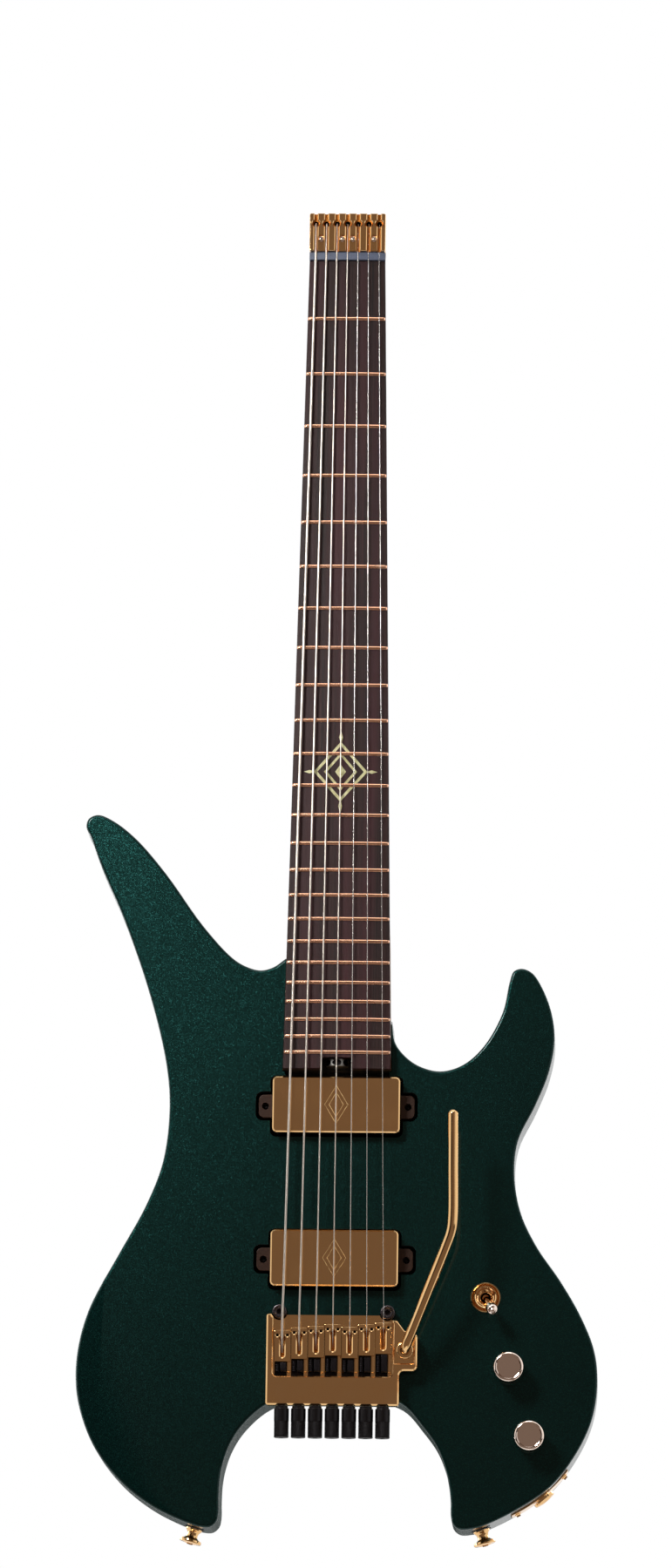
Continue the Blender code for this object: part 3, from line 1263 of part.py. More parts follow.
def strap_buttons():
    """Name, seat and outward direction of each strap button."""
    for name, x, z, side in STRAP_BUTTONS:
        axis = Vector((side * math.sin(BUTTON_LEAN), 0, -math.cos(BUTTON_LEAN)))
        yield name, edge_seat(x, z, axis, BUTTON_FOOT_RADIUS), axis
    yield "strap_button_horn", at(HORN_BUTTON[0], -BODY_THICKNESS, HORN_BUTTON[1]), Vector((0, 1, 0))


def build_strap_buttons():
    head = BUTTON_LENGTH - BUTTON_HEAD_THICKNESS
    profile = (
        (0, -BUTTON_SCREW_LENGTH), (BUTTON_SCREW_RADIUS, -BUTTON_SCREW_LENGTH),
        (BUTTON_SCREW_RADIUS, RUNNING_GAP), (BUTTON_FOOT_RADIUS, RUNNING_GAP),
        (BUTTON_FOOT_RADIUS, BUTTON_FOOT_HEIGHT), (BUTTON_WAIST_RADIUS, 2 * BUTTON_FOOT_HEIGHT),
        (BUTTON_WAIST_RADIUS, head - BUTTON_EDGE), (BUTTON_HEAD_RADIUS, head),
        (BUTTON_HEAD_RADIUS, BUTTON_LENGTH - BUTTON_EDGE), (BUTTON_HEAD_RADIUS - BUTTON_EDGE, BUTTON_LENGTH),
        (0, BUTTON_LENGTH),
    )
    for name, base, axis in strap_buttons():
        add_object(name, turned(profile, base, axis, 12), GOLD)


for old in list(bpy.data.objects):
    bpy.data.objects.remove(old)

BODY_PAINT = material("metallic_green_paint", (0.012, 0.085, 0.055), 0.6, 0.25)
NECK_WOOD = material("satin_maple", (0.42, 0.24, 0.11), 0.0, 0.45)
ROSEWOOD = material("rosewood", (0.035, 0.018, 0.016), 0.0, 0.5)
GOLD = material("gold_plate", (0.70, 0.43, 0.15), 1.0, 0.2)
BLACK_METAL = material("black_metal", (0.02, 0.018, 0.018), 0.6, 0.4)
STEEL = material("steel", (0.45, 0.45, 0.46), 1.0, 0.35)
STRING_STEEL = material("string_steel", (0.62, 0.60, 0.57), 1.0, 0.3)
BRASS = material("brass", (0.55, 0.38, 0.16), 1.0, 0.3)
GRAPHITE = material("graphite", (0.06, 0.065, 0.08), 0.0, 0.5)
DARK_PLASTIC = material("dark_plastic", (0.02, 0.014, 0.012), 0.0, 0.45)
COVER_PLASTIC = material("black_plastic", (0.01, 0.01, 0.01), 0.0, 0.35)
GUIDE = material("guide", (0.8, 0.1, 0.1), 0.0, 1.0)

TREMOLO = add_pivot("tremolo_pivot", PIVOT)

build_body()
build_neck()
build_truss_rod()
build_fretboard()
build_nut()
build_headpiece()
build_strings()
build_tremolo_plate()
build_saddles()
build_tuners()
build_tremolo_block()
build_posts()
build_springs()
build_arm()
build_pickups()
build_controls()
build_covers()
build_jack()
build_strap_buttons()

for shown in bpy.data.objects:
    if shown.type == "MESH" and shown.modifiers:
        even = shown.modifiers.new("even_shading", "WEIGHTED_NORMAL")
        even.keep_sharp = True
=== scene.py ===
import math

import bmesh
import bpy
from mathutils import Matrix, Vector


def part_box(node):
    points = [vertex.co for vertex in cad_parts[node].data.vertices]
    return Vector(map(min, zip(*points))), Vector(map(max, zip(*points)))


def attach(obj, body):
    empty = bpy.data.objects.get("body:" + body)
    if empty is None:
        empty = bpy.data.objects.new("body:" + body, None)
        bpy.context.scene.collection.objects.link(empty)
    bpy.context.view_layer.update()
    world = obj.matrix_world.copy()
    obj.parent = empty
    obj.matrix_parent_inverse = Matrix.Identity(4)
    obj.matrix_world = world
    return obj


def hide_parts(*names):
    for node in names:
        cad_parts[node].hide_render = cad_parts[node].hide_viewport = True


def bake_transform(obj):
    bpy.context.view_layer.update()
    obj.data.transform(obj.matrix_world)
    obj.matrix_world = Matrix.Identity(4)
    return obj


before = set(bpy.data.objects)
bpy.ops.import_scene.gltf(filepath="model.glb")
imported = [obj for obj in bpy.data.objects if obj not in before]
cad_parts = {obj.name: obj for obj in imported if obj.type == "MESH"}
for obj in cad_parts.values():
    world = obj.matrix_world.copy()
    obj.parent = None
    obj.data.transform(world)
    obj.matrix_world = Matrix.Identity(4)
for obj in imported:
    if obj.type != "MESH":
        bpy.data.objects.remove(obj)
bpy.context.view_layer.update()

# All sizes are in metres. +Z runs up the neck and the strings face -Y. A height is measured out from the
# flat front of the body, towards the strings.
BODY_FRONT_Y = -0.004
BODY_THICKNESS = 0.042
OUTWARD = Vector((0, -1, 0))
INWARD = Vector((0, 1, 0))
UP = Vector((0, 0, 1))
GAP = 0.0003

# Strings and scale
SCALE_LENGTH = 0.6731
BRIDGE_LINE_Z = 0.1354
NUT_Z = BRIDGE_LINE_Z + SCALE_LENGTH
STRING_COUNT = 7
NUT_SPREAD = 0.0399
BRIDGE_SPREAD = 0.0622
STRING_RADII = (0.00078, 0.00062, 0.00048, 0.00036, 0.00026, 0.0002, 0.00016)
WOUND_STRINGS = 4
STRING_LIFT_AT_NUT = 0.00155
STRING_LIFT_AT_BRIDGE = 0.0039
INTONATION = (0.0064, 0.0048, 0.0038, 0.0026, 0.0041, 0.0024, 0.0012)


def fret_z(number):
    return NUT_Z - SCALE_LENGTH * (1 - 2 ** (-number / 12))


# Fretboard and neck
FRET_COUNT = 24
FRET_WIDTH = 0.0024
FRET_HEIGHT = 0.0011
BOARD_TOP = 0.010
BOARD_THICKNESS = 0.006
BOARD_RADIUS = 0.406
BOARD_NUT_WIDTH = 0.0477
BOARD_END_WIDTH = 0.067
BOARD_OVERHANG = 0.0103
INLAY_Z = 0.4805
SIDE_DOT_FRETS = (3, 5, 7, 9, 12, 15, 17, 19, 21, 24)
OCTAVE_FRETS = (12, 24)
BOARD_END_Z = fret_z(FRET_COUNT) - BOARD_OVERHANG
NECK_TOP = BOARD_TOP - BOARD_THICKNESS - GAP
NECK_DEPTH_AT_NUT = 0.0135
NECK_DEPTH_AT_HEEL = 0.0165
HEEL_DEPTH = 0.016
HEEL_LENGTH = 0.076
HEEL_BLEND = 0.026
HEEL_END_SQUARENESS = 14.0
HEEL_SQUARENESS = 12.0
SHAFT_SQUARENESS = 2.3
HEAD_SQUARENESS = 2.6
POCKET_RUN_OUT = 0.020
WHEEL_NOTCH_WIDTH = 0.0186
WHEEL_NOTCH_LENGTH = 0.0072
WHEEL_RADIUS = 0.0068
WHEEL_THICKNESS = 0.005
WHEEL_HEIGHT = 0.0008

# Nut and headpiece
NUT_LENGTH = 0.005
HEADPIECE_LENGTH = 0.0243
HEADPIECE_WIDTH = 0.048
HEADPIECE_SLOT = 0.0022
HEADPIECE_HOLE_RADIUS = 0.00235
HEADPIECE_HOLE_FROM_END = 0.0064
HEADPIECE_RISE = 0.0022
HEADPIECE_SCREW_RADIUS = 0.0021
HEAD_END_Z = NUT_Z + NUT_LENGTH + GAP + HEADPIECE_LENGTH

# Body outline (x, z), from the bass cutaway round to the treble one, as in the CAD model
BODY_EDGE = (
    (-0.0330, 0.3640), (-0.0405, 0.3586), (-0.0483, 0.3565), (-0.0570, 0.3586), (-0.0660, 0.3640),
    (-0.0845, 0.3840), (-0.1080, 0.4165), (-0.1270, 0.4385), (-0.1415, 0.4500), (-0.1515, 0.4541),
    (-0.1575, 0.4516), (-0.1590, 0.4465), (-0.1562, 0.4405), (-0.1490, 0.4212), (-0.1345, 0.3885),
    (-0.1170, 0.3393), (-0.1062, 0.2956), (-0.1040, 0.2680), (-0.1075, 0.2360), (-0.1173, 0.2090),
    (-0.1347, 0.1764), (-0.1520, 0.1435), (-0.1585, 0.1200), (-0.1596, 0.0980), (-0.1560, 0.0790),
    (-0.1465, 0.0570), (-0.1300, 0.0365), (-0.1110, 0.0220), (-0.0910, 0.0124), (-0.0800, 0.0091),
    (-0.0745, 0.0092), (-0.0707, 0.0125), (-0.0694, 0.0180), (-0.0694, 0.0270), (-0.0690, 0.0380),
    (-0.0672, 0.0486), (-0.0630, 0.0605), (-0.0552, 0.0726), (-0.0405, 0.0855), (-0.0200, 0.0925),
    (0.0000, 0.0940), (0.0200, 0.0925), (0.0427, 0.0860), (0.0557, 0.0721), (0.0640, 0.0607),
    (0.0690, 0.0493), (0.0718, 0.0383), (0.0733, 0.0270), (0.0735, 0.0180), (0.0748, 0.0125),
    (0.0787, 0.0093), (0.0860, 0.0095), (0.0942, 0.0118), (0.1137, 0.0215), (0.1350, 0.0364),
    (0.1503, 0.0566), (0.1597, 0.0773), (0.1630, 0.0985), (0.1611, 0.1201), (0.1525, 0.1417),
    (0.1399, 0.1633), (0.1250, 0.1847), (0.1148, 0.2060), (0.1107, 0.2300), (0.1127, 0.2506),
    (0.1232, 0.2728), (0.1314, 0.2936), (0.1349, 0.3140), (0.1328, 0.3315), (0.1263, 0.3481),
    (0.1207, 0.3560), (0.1142, 0.3588), (0.1090, 0.3570), (0.1064, 0.3500), (0.1024, 0.3313),
    (0.0909, 0.3098), (0.0780, 0.2980), (0.0642, 0.2939), (0.0510, 0.2970), (0.0418, 0.3035),
    (0.0358, 0.3120), (0.0339, 0.3247),
)
BODY_EDGE_ROUND = 0.0020
FOREARM_CREASE = ((-0.1364, 0.1435), (-0.0854, 0.0148))
FOREARM_SLOPE = math.radians(11)
# The belly's scoop in the back: a wide cylinder cuts it, deeper towards the bass edge
BELLY_X = -0.0660
BELLY_Z = 0.2640
BELLY_SLOPE = math.radians(17)
BELLY_RADIUS = 0.1150

# Pickups
NECK_PICKUP_Z = BOARD_END_Z - 0.0223
BRIDGE_PICKUP_Z = BRIDGE_LINE_Z + 0.0400
PICKUP_WIDTH = 0.0789
PICKUP_LENGTH = 0.0348
PICKUP_CORNER = 0.0028
PICKUP_TOP = 0.0088
PICKUP_WALL = 0.0010
PICKUP_SKIRT_DEPTH = 0.003
PICKUP_MARGIN = 0.0018
PICKUP_CAVITY_DEPTH = 0.020
EAR_SPAN = 0.0970
EAR_LENGTH = 0.0146
EAR_DROP = 0.0010

# Tremolo
SADDLE_PITCH = BRIDGE_SPREAD / (STRING_COUNT - 1)
PLATE_WALL = 0.0041
PLATE_WIDTH = STRING_COUNT * SADDLE_PITCH + 2 * (0.0006 + PLATE_WALL)
HALF_PLATE = PLATE_WIDTH / 2
PLATE_BOTTOM = 0.0035
PLATE_TOP = 0.0065
PLATE_RIM_TOP = 0.0120
PLATE_TOP_Z = 0.1401
PLATE_END_Z = 0.0838
APRON_LENGTH = 0.0178
PLATE_CORNER = 0.0014
BAY_CORNER = 0.0022
BRACKET_REACH = 0.0110
BRACKET_TOP_Z = 0.1290
BRACKET_LENGTH = 0.0235
BRACKET_CORNER = 0.0030
POST_ROOM = 0.0008
TUNER_BORE = 0.0023
ARM_BORE = 0.0030
POST_Z = BRIDGE_LINE_Z + 0.0066
POST_X = HALF_PLATE - 0.0076
POST_RADIUS = 0.0044
POST_TOP = 0.0086
ARM_X = HALF_PLATE + 0.0035
ARM_Z = 0.1180
ARM_RADIUS = 0.0032
ARM_FOOT_RADIUS = 0.0027
ARM_END_LENGTH = 0.0024
GRIP_RADIUS = 0.0046
TUNER_HEIGHT = 0.0088
TUNER_LENGTH = 0.0196
SADDLE_LENGTH = 0.0197
SADDLE_FRONT = 0.0013
SADDLE_FLOOR = 0.0016
SADDLE_FALL = 0.0014
SADDLE_SCREW_X = 0.0031
SADDLE_SCREW_BACK = 0.0022
SLOT_RADIUS = 0.00135
SLOT_FROM_REAR = 0.0026
SLOT_FROM_NOSE = 0.0030
SLIDE_ROOM = 0.0026

# Controls
SWITCH_X = 0.0936
SWITCH_Z = 0.1527
SWITCH_TILT = 25
SWITCH_LEAN = -64.5
SWITCH_PIVOT_DEPTH = 0.004
KNOB_PLACES = (("volume", 0.1084, 0.1081), ("tone", 0.1214, 0.0659))

# Jack, strap buttons and the covers in the back
BUTTON_HEIGHT = 0.010
BUTTON_LEAN = math.radians(16)
JACK_PLATE_HALF_HEIGHT = 0.0085
JACK_PLATE_SINK = 0.0007
JACK_PLATE_RISE = 0.0008
JACK_RECESS_HALF_HEIGHT = 0.0088
JACK_RECESS_DEPTH = 0.001
JACK_ARC = ((0.1105, 0.0197), (0.1285, 0.0311), (0.1448, 0.0480))
CONTROL_CAVITY = (
    (0.0790, 0.1680), (0.1080, 0.1680), (0.1260, 0.1400), (0.1390, 0.1000), (0.1400, 0.0640),
    (0.1290, 0.0470), (0.1060, 0.0510), (0.0900, 0.0900), (0.0770, 0.1300),
)
CONTROL_COVER_SCREWS = (
    (0.0815, 0.1685), (0.1075, 0.1690), (0.1345, 0.1215), (0.1405, 0.0655), (0.1280, 0.0480),
    (0.0990, 0.0640),
)
NECK_BOLTS = [(x, z) for x in (-0.0190, 0.0190) for z in (0.2990, 0.3205)]
COVER_THICKNESS = 0.0022
COVER_LEDGE = 0.0040

# Rooms in the body: the neck's pocket, the sustain block's slot, the springs' and the controls' cavities
POCKET_ROOM = 0.0005
WHEEL_PASSAGE_HALF_WIDTH = 0.0325
WHEEL_PASSAGE_DEPTH = 0.0155
BLOCK_INSET = 0.007
BLOCK_ROOM = 0.003
BLOCK_SLOT_DEPTH = 0.0335
BLOCK_SLOT_LOW_Z = 0.1040
BLOCK_SLOT_HIGH_Z = 0.1345
SPRING_CAVITY_MIDDLE_Z = 0.176
SPRING_CAVITY_LENGTH = 0.148
SPRING_CAVITY_DEPTH = 0.017
CONTROL_CAVITY_CEILING = -0.006
CLAW_SCREW_X = 0.021
CLAW_SCREW_DEPTH = 0.032
CLAW_SCREW_LOW_Z = 0.2495
CLAW_SCREW_BORE = 0.0023
CLAW_SCREW_BITE = 0.013
POST_HOLE_DEPTH = 0.0206
POT_BORE = 0.0047
SWITCH_BORE = 0.0067
CONTROL_BORE_DEPTH = 0.007
JACK_BORE = 0.0064
JACK_BORE_DEPTH = 0.034
TRUSS_CHANNEL_HALF_WIDTH = 0.0029
TRUSS_CHANNEL_DEPTH = 0.0047
TRUSS_CHANNEL_LOW_Z = BOARD_END_Z + 0.0069
TRUSS_CHANNEL_HIGH_Z = NUT_Z - 0.0197
WHEEL_ROOM_DEPTH = 0.0065

# Studio: the floor, the screen with its tones from left to right, the level of the surrounding light, the
# card, the camera, and the lamps with their place, aim, width, length, spread in degrees and power
FLOOR_Z = -0.53
FLOOR_RADIUS = 12.0
FLOOR_LIFT = 0.88
SCREEN_RADIUS = 6.0
SCREEN_TOP = 7.5
SCREEN_FOOT = 0.35
SCREEN_TONES = (
    (0.0, "#ffffff"), (1.0, "#ffffff"), (0.08, "#ffffff"), (0.14, "#2a201a"), (0.33, "#2c231d"),
    (0.40, "#74655c"), (0.64, "#7a6c62"), (0.78, "#4a3c34"), (0.88, "#2e231c"), (0.93, "#ffffff"),
)
FILL_LEVEL = 0.14
CARD_TONE = "#1d2e29"
CARD_CENTRE = (-0.085, 1.0, 0.02)
CARD_WIDTH = 0.43
CARD_HEIGHT = 0.28
SCREEN_START = -168
SCREEN_SWEEP = 156
CAMERA_LENS = 195.66
CAMERA_PLACE = (0.1915, -5.2415, -0.4771)
CAMERA_TURNS = ((2.128, "Z"), (90 + 10.291, "X"), (0.775, "Z"))
LAMPS = (
    ("key_softbox", (-0.50, -0.90, 0.85), (-0.14, 0, 0.42), 0.30, 0.30, 95, 3.3),
    ("left_strip", (-1.8, 0.6, 0.35), (-0.1, 0, 0.3), 0.16, 1.3, 120, 4.0),
    ("right_softbox", (1.5, -1.6, 0.6), (0, 0, 0.3), 0.8, 1.4, 180, 2.0),
    ("top_softbox", (0.0, -0.9, 2.3), (0, 0, 0.6), 0.9, 0.6, 180, 6.0),
    ("back_left_softbox", (1.5, 1.9, 1.3), (0, 0, 0.3), 1.2, 1.4, 180, 22.0),
    ("back_right_softbox", (-1.5, 1.9, 0.9), (0, 0, 0.3), 1.2, 1.4, 180, 14.0),
)


# ---------------------------------------------------------------- places

def at(x, height, z):
    return Vector((x, BODY_FRONT_Y - height, z))


def board_half_width(z):
    share = (NUT_Z - z) / (NUT_Z - BOARD_END_Z)
    return (BOARD_NUT_WIDTH + (BOARD_END_WIDTH - BOARD_NUT_WIDTH) * share) / 2


def crown_drop(x):
    return BOARD_RADIUS - math.sqrt(BOARD_RADIUS**2 - x**2)


def string_share(index):
    return index / (STRING_COUNT - 1) - 0.5


def string_x(index, z):
    share = (NUT_Z - z) / SCALE_LENGTH
    return string_share(index) * (NUT_SPREAD + (BRIDGE_SPREAD - NUT_SPREAD) * share)


def string_height(index, z):
    share = (NUT_Z - z) / SCALE_LENGTH
    lift = STRING_LIFT_AT_NUT + (STRING_LIFT_AT_BRIDGE - STRING_LIFT_AT_NUT) * share
    return BOARD_TOP - crown_drop(string_x(index, z)) + lift + STRING_RADII[index]


def saddle_nose_z(index):
    return BRIDGE_LINE_Z - INTONATION[index]


def saddle_rear_z(index):
    return saddle_nose_z(index) + SADDLE_FRONT - SADDLE_LENGTH


def saddle_x(index):
    return string_share(index) * BRIDGE_SPREAD


# ---------------------------------------------------------------- shaping

def pulled(bm, faces, move):
    """Pulls flat faces out along a move into a closed solid."""
    made = bmesh.ops.extrude_face_region(bm, geom=faces)["geom"]
    verts = [item for item in made if isinstance(item, bmesh.types.BMVert)]
    bmesh.ops.translate(bm, vec=move, verts=verts)
    bmesh.ops.recalc_face_normals(bm, faces=bm.faces)
    return bm


def plate(points, low, high):
    """An outline of (x, z) points, filled between two heights over the body's front."""
    bm = bmesh.new()
    face = bm.faces.new([bm.verts.new(at(x, low, z)) for x, z in points])
    return pulled(bm, [face], (0, low - high, 0))


def frame_plate(points, width, low, high):
    """Like plate, but only a band of this width along the inside of the outline."""
    bm = bmesh.new()
    face = bm.faces.new([bm.verts.new(at(x, low, z)) for x, z in points])
    bm.normal_update()
    bmesh.ops.inset_region(bm, faces=[face], thickness=width, use_even_offset=True, use_boundary=True)
    bmesh.ops.delete(bm, geom=[face], context="FACES")
    return pulled(bm, bm.faces[:], (0, low - high, 0))


def side_plate(points, low_x, high_x):
    """An outline of (z, height) points, filled between two places along X."""
    bm = bmesh.new()
    face = bm.faces.new([bm.verts.new(at(low_x, height, z)) for z, height in points])
    return pulled(bm, [face], (high_x - low_x, 0, 0))


def block(low_x, high_x, low, high, low_z, high_z):
    return plate(((low_x, low_z), (high_x, low_z), (high_x, high_z), (low_x, high_z)), low, high)


def turned(profile, base, axis, sides):
    """A lathe-turned shape: (radius, distance along the axis) points, spun about the axis from base."""
    bm = bmesh.new()
    verts = [bm.verts.new((radius, 0, distance)) for radius, distance in profile]
    edges = [bm.edges.new(pair) for pair in zip(verts, verts[1:])]
    if profile[0][0] or profile[-1][0]:
        edges.append(bm.edges.new((verts[-1], verts[0])))
    bmesh.ops.spin(
        bm, geom=verts + edges, cent=(0, 0, 0), axis=(0, 0, 1), angle=2 * math.pi, steps=sides,
        use_merge=True,
    )
    bmesh.ops.remove_doubles(bm, verts=bm.verts, dist=1e-7)
    bmesh.ops.transform(bm, matrix=aimed(base, axis), verts=bm.verts)
    bmesh.ops.recalc_face_normals(bm, faces=bm.faces)
    return bm


def aimed(base, axis):
    """The move that takes a shape standing on the origin along +Z to this base and direction."""
    turn = UP.rotation_difference(Vector(axis)).to_matrix().to_4x4()
    return Matrix.Translation(base) @ turn


def rod(radius, base, axis, length, sides=32):
    return turned(((0, 0), (radius, 0), (radius, length), (0, length)), base, axis, sides)


def arc(centre_x, centre_y, radius, start, end, steps=6):
    """Points of an arc in an outline or in a turned profile; the angles are in degrees."""
    points = []
    for step in range(steps + 1):
        angle = math.radians(start + (end - start) * step / steps)
        points.append((centre_x + radius * math.cos(angle), centre_y + radius * math.sin(angle)))
    return points


def loft(rings):
    """A closed shape through rings of points, each bridged to the next."""
    bm = bmesh.new()
    loops = []
    for ring in rings:
        verts = [bm.verts.new(point) for point in ring]
        loops.append([bm.edges.new(pair) for pair in zip(verts, verts[1:] + verts[:1])])
    for first, second in zip(loops, loops[1:]):
        bmesh.ops.bridge_loops(bm, edges=first + second)
    for end in (loops[0], loops[-1]):
        bmesh.ops.contextual_create(bm, geom=end)
    bmesh.ops.recalc_face_normals(bm, faces=bm.faces)
    return bm


def rounded(corners, radius, steps=6):
    """A polygon of (x, z) corners with each corner turned into an arc of this radius."""
    points = []
    for index, corner in enumerate(corners):
        here = Vector(corner)
        before = (Vector(corners[index - 1]) - here).normalized()
        after = (Vector(corners[(index + 1) % len(corners)]) - here).normalized()
        half = before.angle(after) / 2
        middle = here + (before + after).normalized() * radius / math.sin(half)
        start = here + before * radius / math.tan(half) - middle
        end = here + after * radius / math.tan(half) - middle
        sweep = start.angle_signed(end)
        for step in range(steps + 1):
            arm = start.copy()
            arm.rotate(Matrix.Rotation(-sweep * step / steps, 2))
            points.append(tuple(middle + arm))
    return points


def rounded_rectangle(centre_x, centre_z, width, length, radius, steps=6):
    low_x, high_x = centre_x - width / 2, centre_x + width / 2
    low_z, high_z = centre_z - length / 2, centre_z + length / 2
    return rounded(((low_x, low_z), (high_x, low_z), (high_x, high_z), (low_x, high_z)), radius, steps)


def smooth_path(points, steps):
    """A centripetal Catmull-Rom curve through the points, with this many steps from each to the next."""
    knots = [Vector(point) for point in points]
    knots = [knots[0] * 2 - knots[1], *knots, knots[-1] * 2 - knots[-2]]
    path = []
    for a, b, c, d in zip(knots, knots[1:], knots[2:], knots[3:]):
        times = [0.0]
        for first, second in ((a, b), (b, c), (c, d)):
            times.append(times[-1] + math.sqrt((second - first).length))
        for step in range(steps):
            t = times[1] + (times[2] - times[1]) * step / steps
            ab = a.lerp(b, (t - times[0]) / (times[1] - times[0]))
            bc = b.lerp(c, (t - times[1]) / (times[2] - times[1]))
            cd = c.lerp(d, (t - times[2]) / (times[3] - times[2]))
            abc = ab.lerp(bc, (t - times[0]) / (times[2] - times[0]))
            bcd = bc.lerp(cd, (t - times[1]) / (times[3] - times[1]))
            path.append(abc.lerp(bcd, (t - times[1]) / (times[2] - times[1])))
    return [*path, knots[-2]]


def meshed(bm, name="shape"):
    """The shape as a mesh; the shape itself is freed."""
    mesh = bpy.data.meshes.new(name)
    bm.to_mesh(mesh)
    bm.free()
    return mesh


def placed(data, name="shape"):
    """A new object in the scene with this data."""
    holder = bpy.data.objects.new(name, data)
    bpy.context.scene.collection.objects.link(holder)
    return holder


def evaluated(holder):
    """The shape that an object has once its modifiers have run."""
    depsgraph = bpy.context.evaluated_depsgraph_get()
    mesh = bpy.data.meshes.new_from_object(holder.evaluated_get(depsgraph))
    bm = bmesh.new()
    bm.from_mesh(mesh)
    bpy.data.meshes.remove(mesh)
    return bm


def round_bar(points, radii, resolution=4):
    """A round bar through world points, each with its own radius."""
    curve = bpy.data.curves.new("bar", "CURVE")
    curve.dimensions = "3D"
    curve.bevel_depth = 1
    curve.bevel_resolution = resolution
    curve.use_fill_caps = True
    spline = curve.splines.new("POLY")
    spline.points.add(len(points) - 1)
    for knot, point, radius in zip(spline.points, points, radii):
        knot.co = (*point, 1)
        knot.radius = radius
    holder = placed(curve, "bar")
    bm = evaluated(holder)
    bpy.data.objects.remove(holder)
    bmesh.ops.remove_doubles(bm, verts=bm.verts, dist=1e-7)
    bmesh.ops.recalc_face_normals(bm, faces=bm.faces)
    return bm


def copies(shape, moves):
    """The shape repeated at each of the moves."""
    mesh = meshed(shape)
    whole = bmesh.new()
    for move in moves:
        before = len(whole.verts)
        whole.from_mesh(mesh)
        whole.verts.ensure_lookup_table()
        bmesh.ops.transform(whole, matrix=move, verts=whole.verts[before:])
    bpy.data.meshes.remove(mesh)
    return whole


def joined(shapes):
    """Several separate closed shapes as one."""
    whole = bmesh.new()
    for shape in shapes:
        mesh = meshed(shape)
        whole.from_mesh(mesh)
        bpy.data.meshes.remove(mesh)
    return whole


def carved(bm, cutters, wall=0, operation="DIFFERENCE"):
    """The shape with the cutters taken out of it, or added; what they leave takes this material slot."""
    tool = joined(cutters)
    for face in tool.faces:
        face.material_index = wall
    holders = []
    for shape in (bm, tool):
        mesh = meshed(shape)
        for _slot in range(3):
            mesh.materials.append(None)
        holders.append(placed(mesh))
    modifier = holders[0].modifiers.new("carve", "BOOLEAN")
    modifier.operation = operation
    modifier.solver = "EXACT"
    modifier.object = holders[1]
    result = evaluated(holders[0])
    for holder in holders:
        mesh = holder.data
        bpy.data.objects.remove(holder)
        bpy.data.meshes.remove(mesh)
    return result


def sharp_edges(bm, degrees=50, height=None):
    """The edges that turn more than this, all of them or only those in the flat face at a height."""
    found = []
    for edge in bm.edges:
        flat = height is None or all(abs(vert.co.y - BODY_FRONT_Y + height) < 1e-6 for vert in edge.verts)
        if flat and edge.is_manifold and edge.calc_face_angle() > math.radians(degrees):
            found.append(edge)
    return found


def soften(bm, edges, width, segments=2):
    bmesh.ops.bevel(
        bm, geom=edges, offset=width, offset_type="OFFSET", segments=segments, profile=0.5,
        affect="EDGES", clamp_overlap=False, material=-1,
    )


def trim(bm, point, normal):
    """Removes what lies beyond a plane and closes the cut."""
    geometry = bm.verts[:] + bm.edges[:] + bm.faces[:]
    found = bmesh.ops.bisect_plane(
        bm, geom=geometry, plane_co=point, plane_no=normal, clear_outer=True, dist=1e-7,
    )
    edges = [item for item in found["geom_cut"] if isinstance(item, bmesh.types.BMEdge)]
    bmesh.ops.contextual_create(bm, geom=edges)
    bmesh.ops.recalc_face_normals(bm, faces=bm.faces)


def fit(name, bm, finishes, body, replaces=(), crease=35):
    """Makes the shape a piece of the guitar: shades it, finishes it and fixes it to its moving body."""
    bmesh.ops.recalc_face_normals(bm, faces=bm.faces)
    for face in bm.faces:
        face.smooth = True
    for edge in bm.edges:
        edge.smooth = edge.is_manifold and edge.calc_face_angle() < math.radians(crease)
    mesh = meshed(bm, name)
    for finish in finishes if isinstance(finishes, tuple) else (finishes,):
        mesh.materials.append(finish)
    piece = placed(mesh, name)
    even = piece.modifiers.new("even_shading", "WEIGHTED_NORMAL")
    even.keep_sharp = True
    if body:
        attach(piece, body)
    if replaces:
        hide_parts(*replaces)
    return piece


# ---------------------------------------------------------------- finishes

def linear(hex_colour):
    """An sRGB hex colour as the linear colour that a shader takes."""
    values = [int(hex_colour[i:i + 2], 16) / 255 for i in (1, 3, 5)]
    return (*(v / 12.92 if v <= 0.04045 else ((v + 0.055) / 1.055) ** 2.4 for v in values), 1)


def add(tree, kind, inputs, **settings):
    """Adds a node with its settings; an input is a value or the output that it is linked to."""
    made = tree.nodes.new(kind)
    for key, value in settings.items():
        setattr(made, key, value)
    for key, value in inputs.items():
        if isinstance(value, bpy.types.NodeSocket):
            tree.links.new(value, made.inputs[key])
        else:
            made.inputs[key].default_value = value
    return made


def finish(name, **shader_values):
    """A new finish with its plain values; returns it, its tree, its shader and the object's coordinates."""
    made = bpy.data.materials.new(name)
    made.use_nodes = True
    tree = made.node_tree
    shader = tree.nodes["Principled BSDF"]
    for key, value in shader_values.items():
        shader.inputs[key.replace("_", " ")].default_value = value
    place = add(tree, "ShaderNodeTexCoord", {}).outputs["Object"]
    return made, tree, shader, place


def link(tree, shader, **sockets):
    for key, value in sockets.items():
        tree.links.new(value, shader.inputs[key.replace("_", " ")])


def noise(tree, place, scale, detail, **inputs):
    """The value of a noise texture; a scale of three numbers stretches it along the axes."""
    if isinstance(scale, tuple):
        place = add(tree, "ShaderNodeMapping", {"Vector": place, "Scale": scale}).outputs[0]
        scale = 1.0
    values = {"Vector": place, "Scale": scale, "Detail": detail, **inputs}
    return add(tree, "ShaderNodeTexNoise", values).outputs["Fac"]


def mixed(tree, factor, first, second):
    """Two colours, each in hex or from another node, blended by a factor."""
    pair = [linear(colour) if isinstance(colour, str) else colour for colour in (first, second)]
    inputs = {"Factor": factor, 6: pair[0], 7: pair[1]}
    return add(tree, "ShaderNodeMix", inputs, data_type="RGBA").outputs[2]


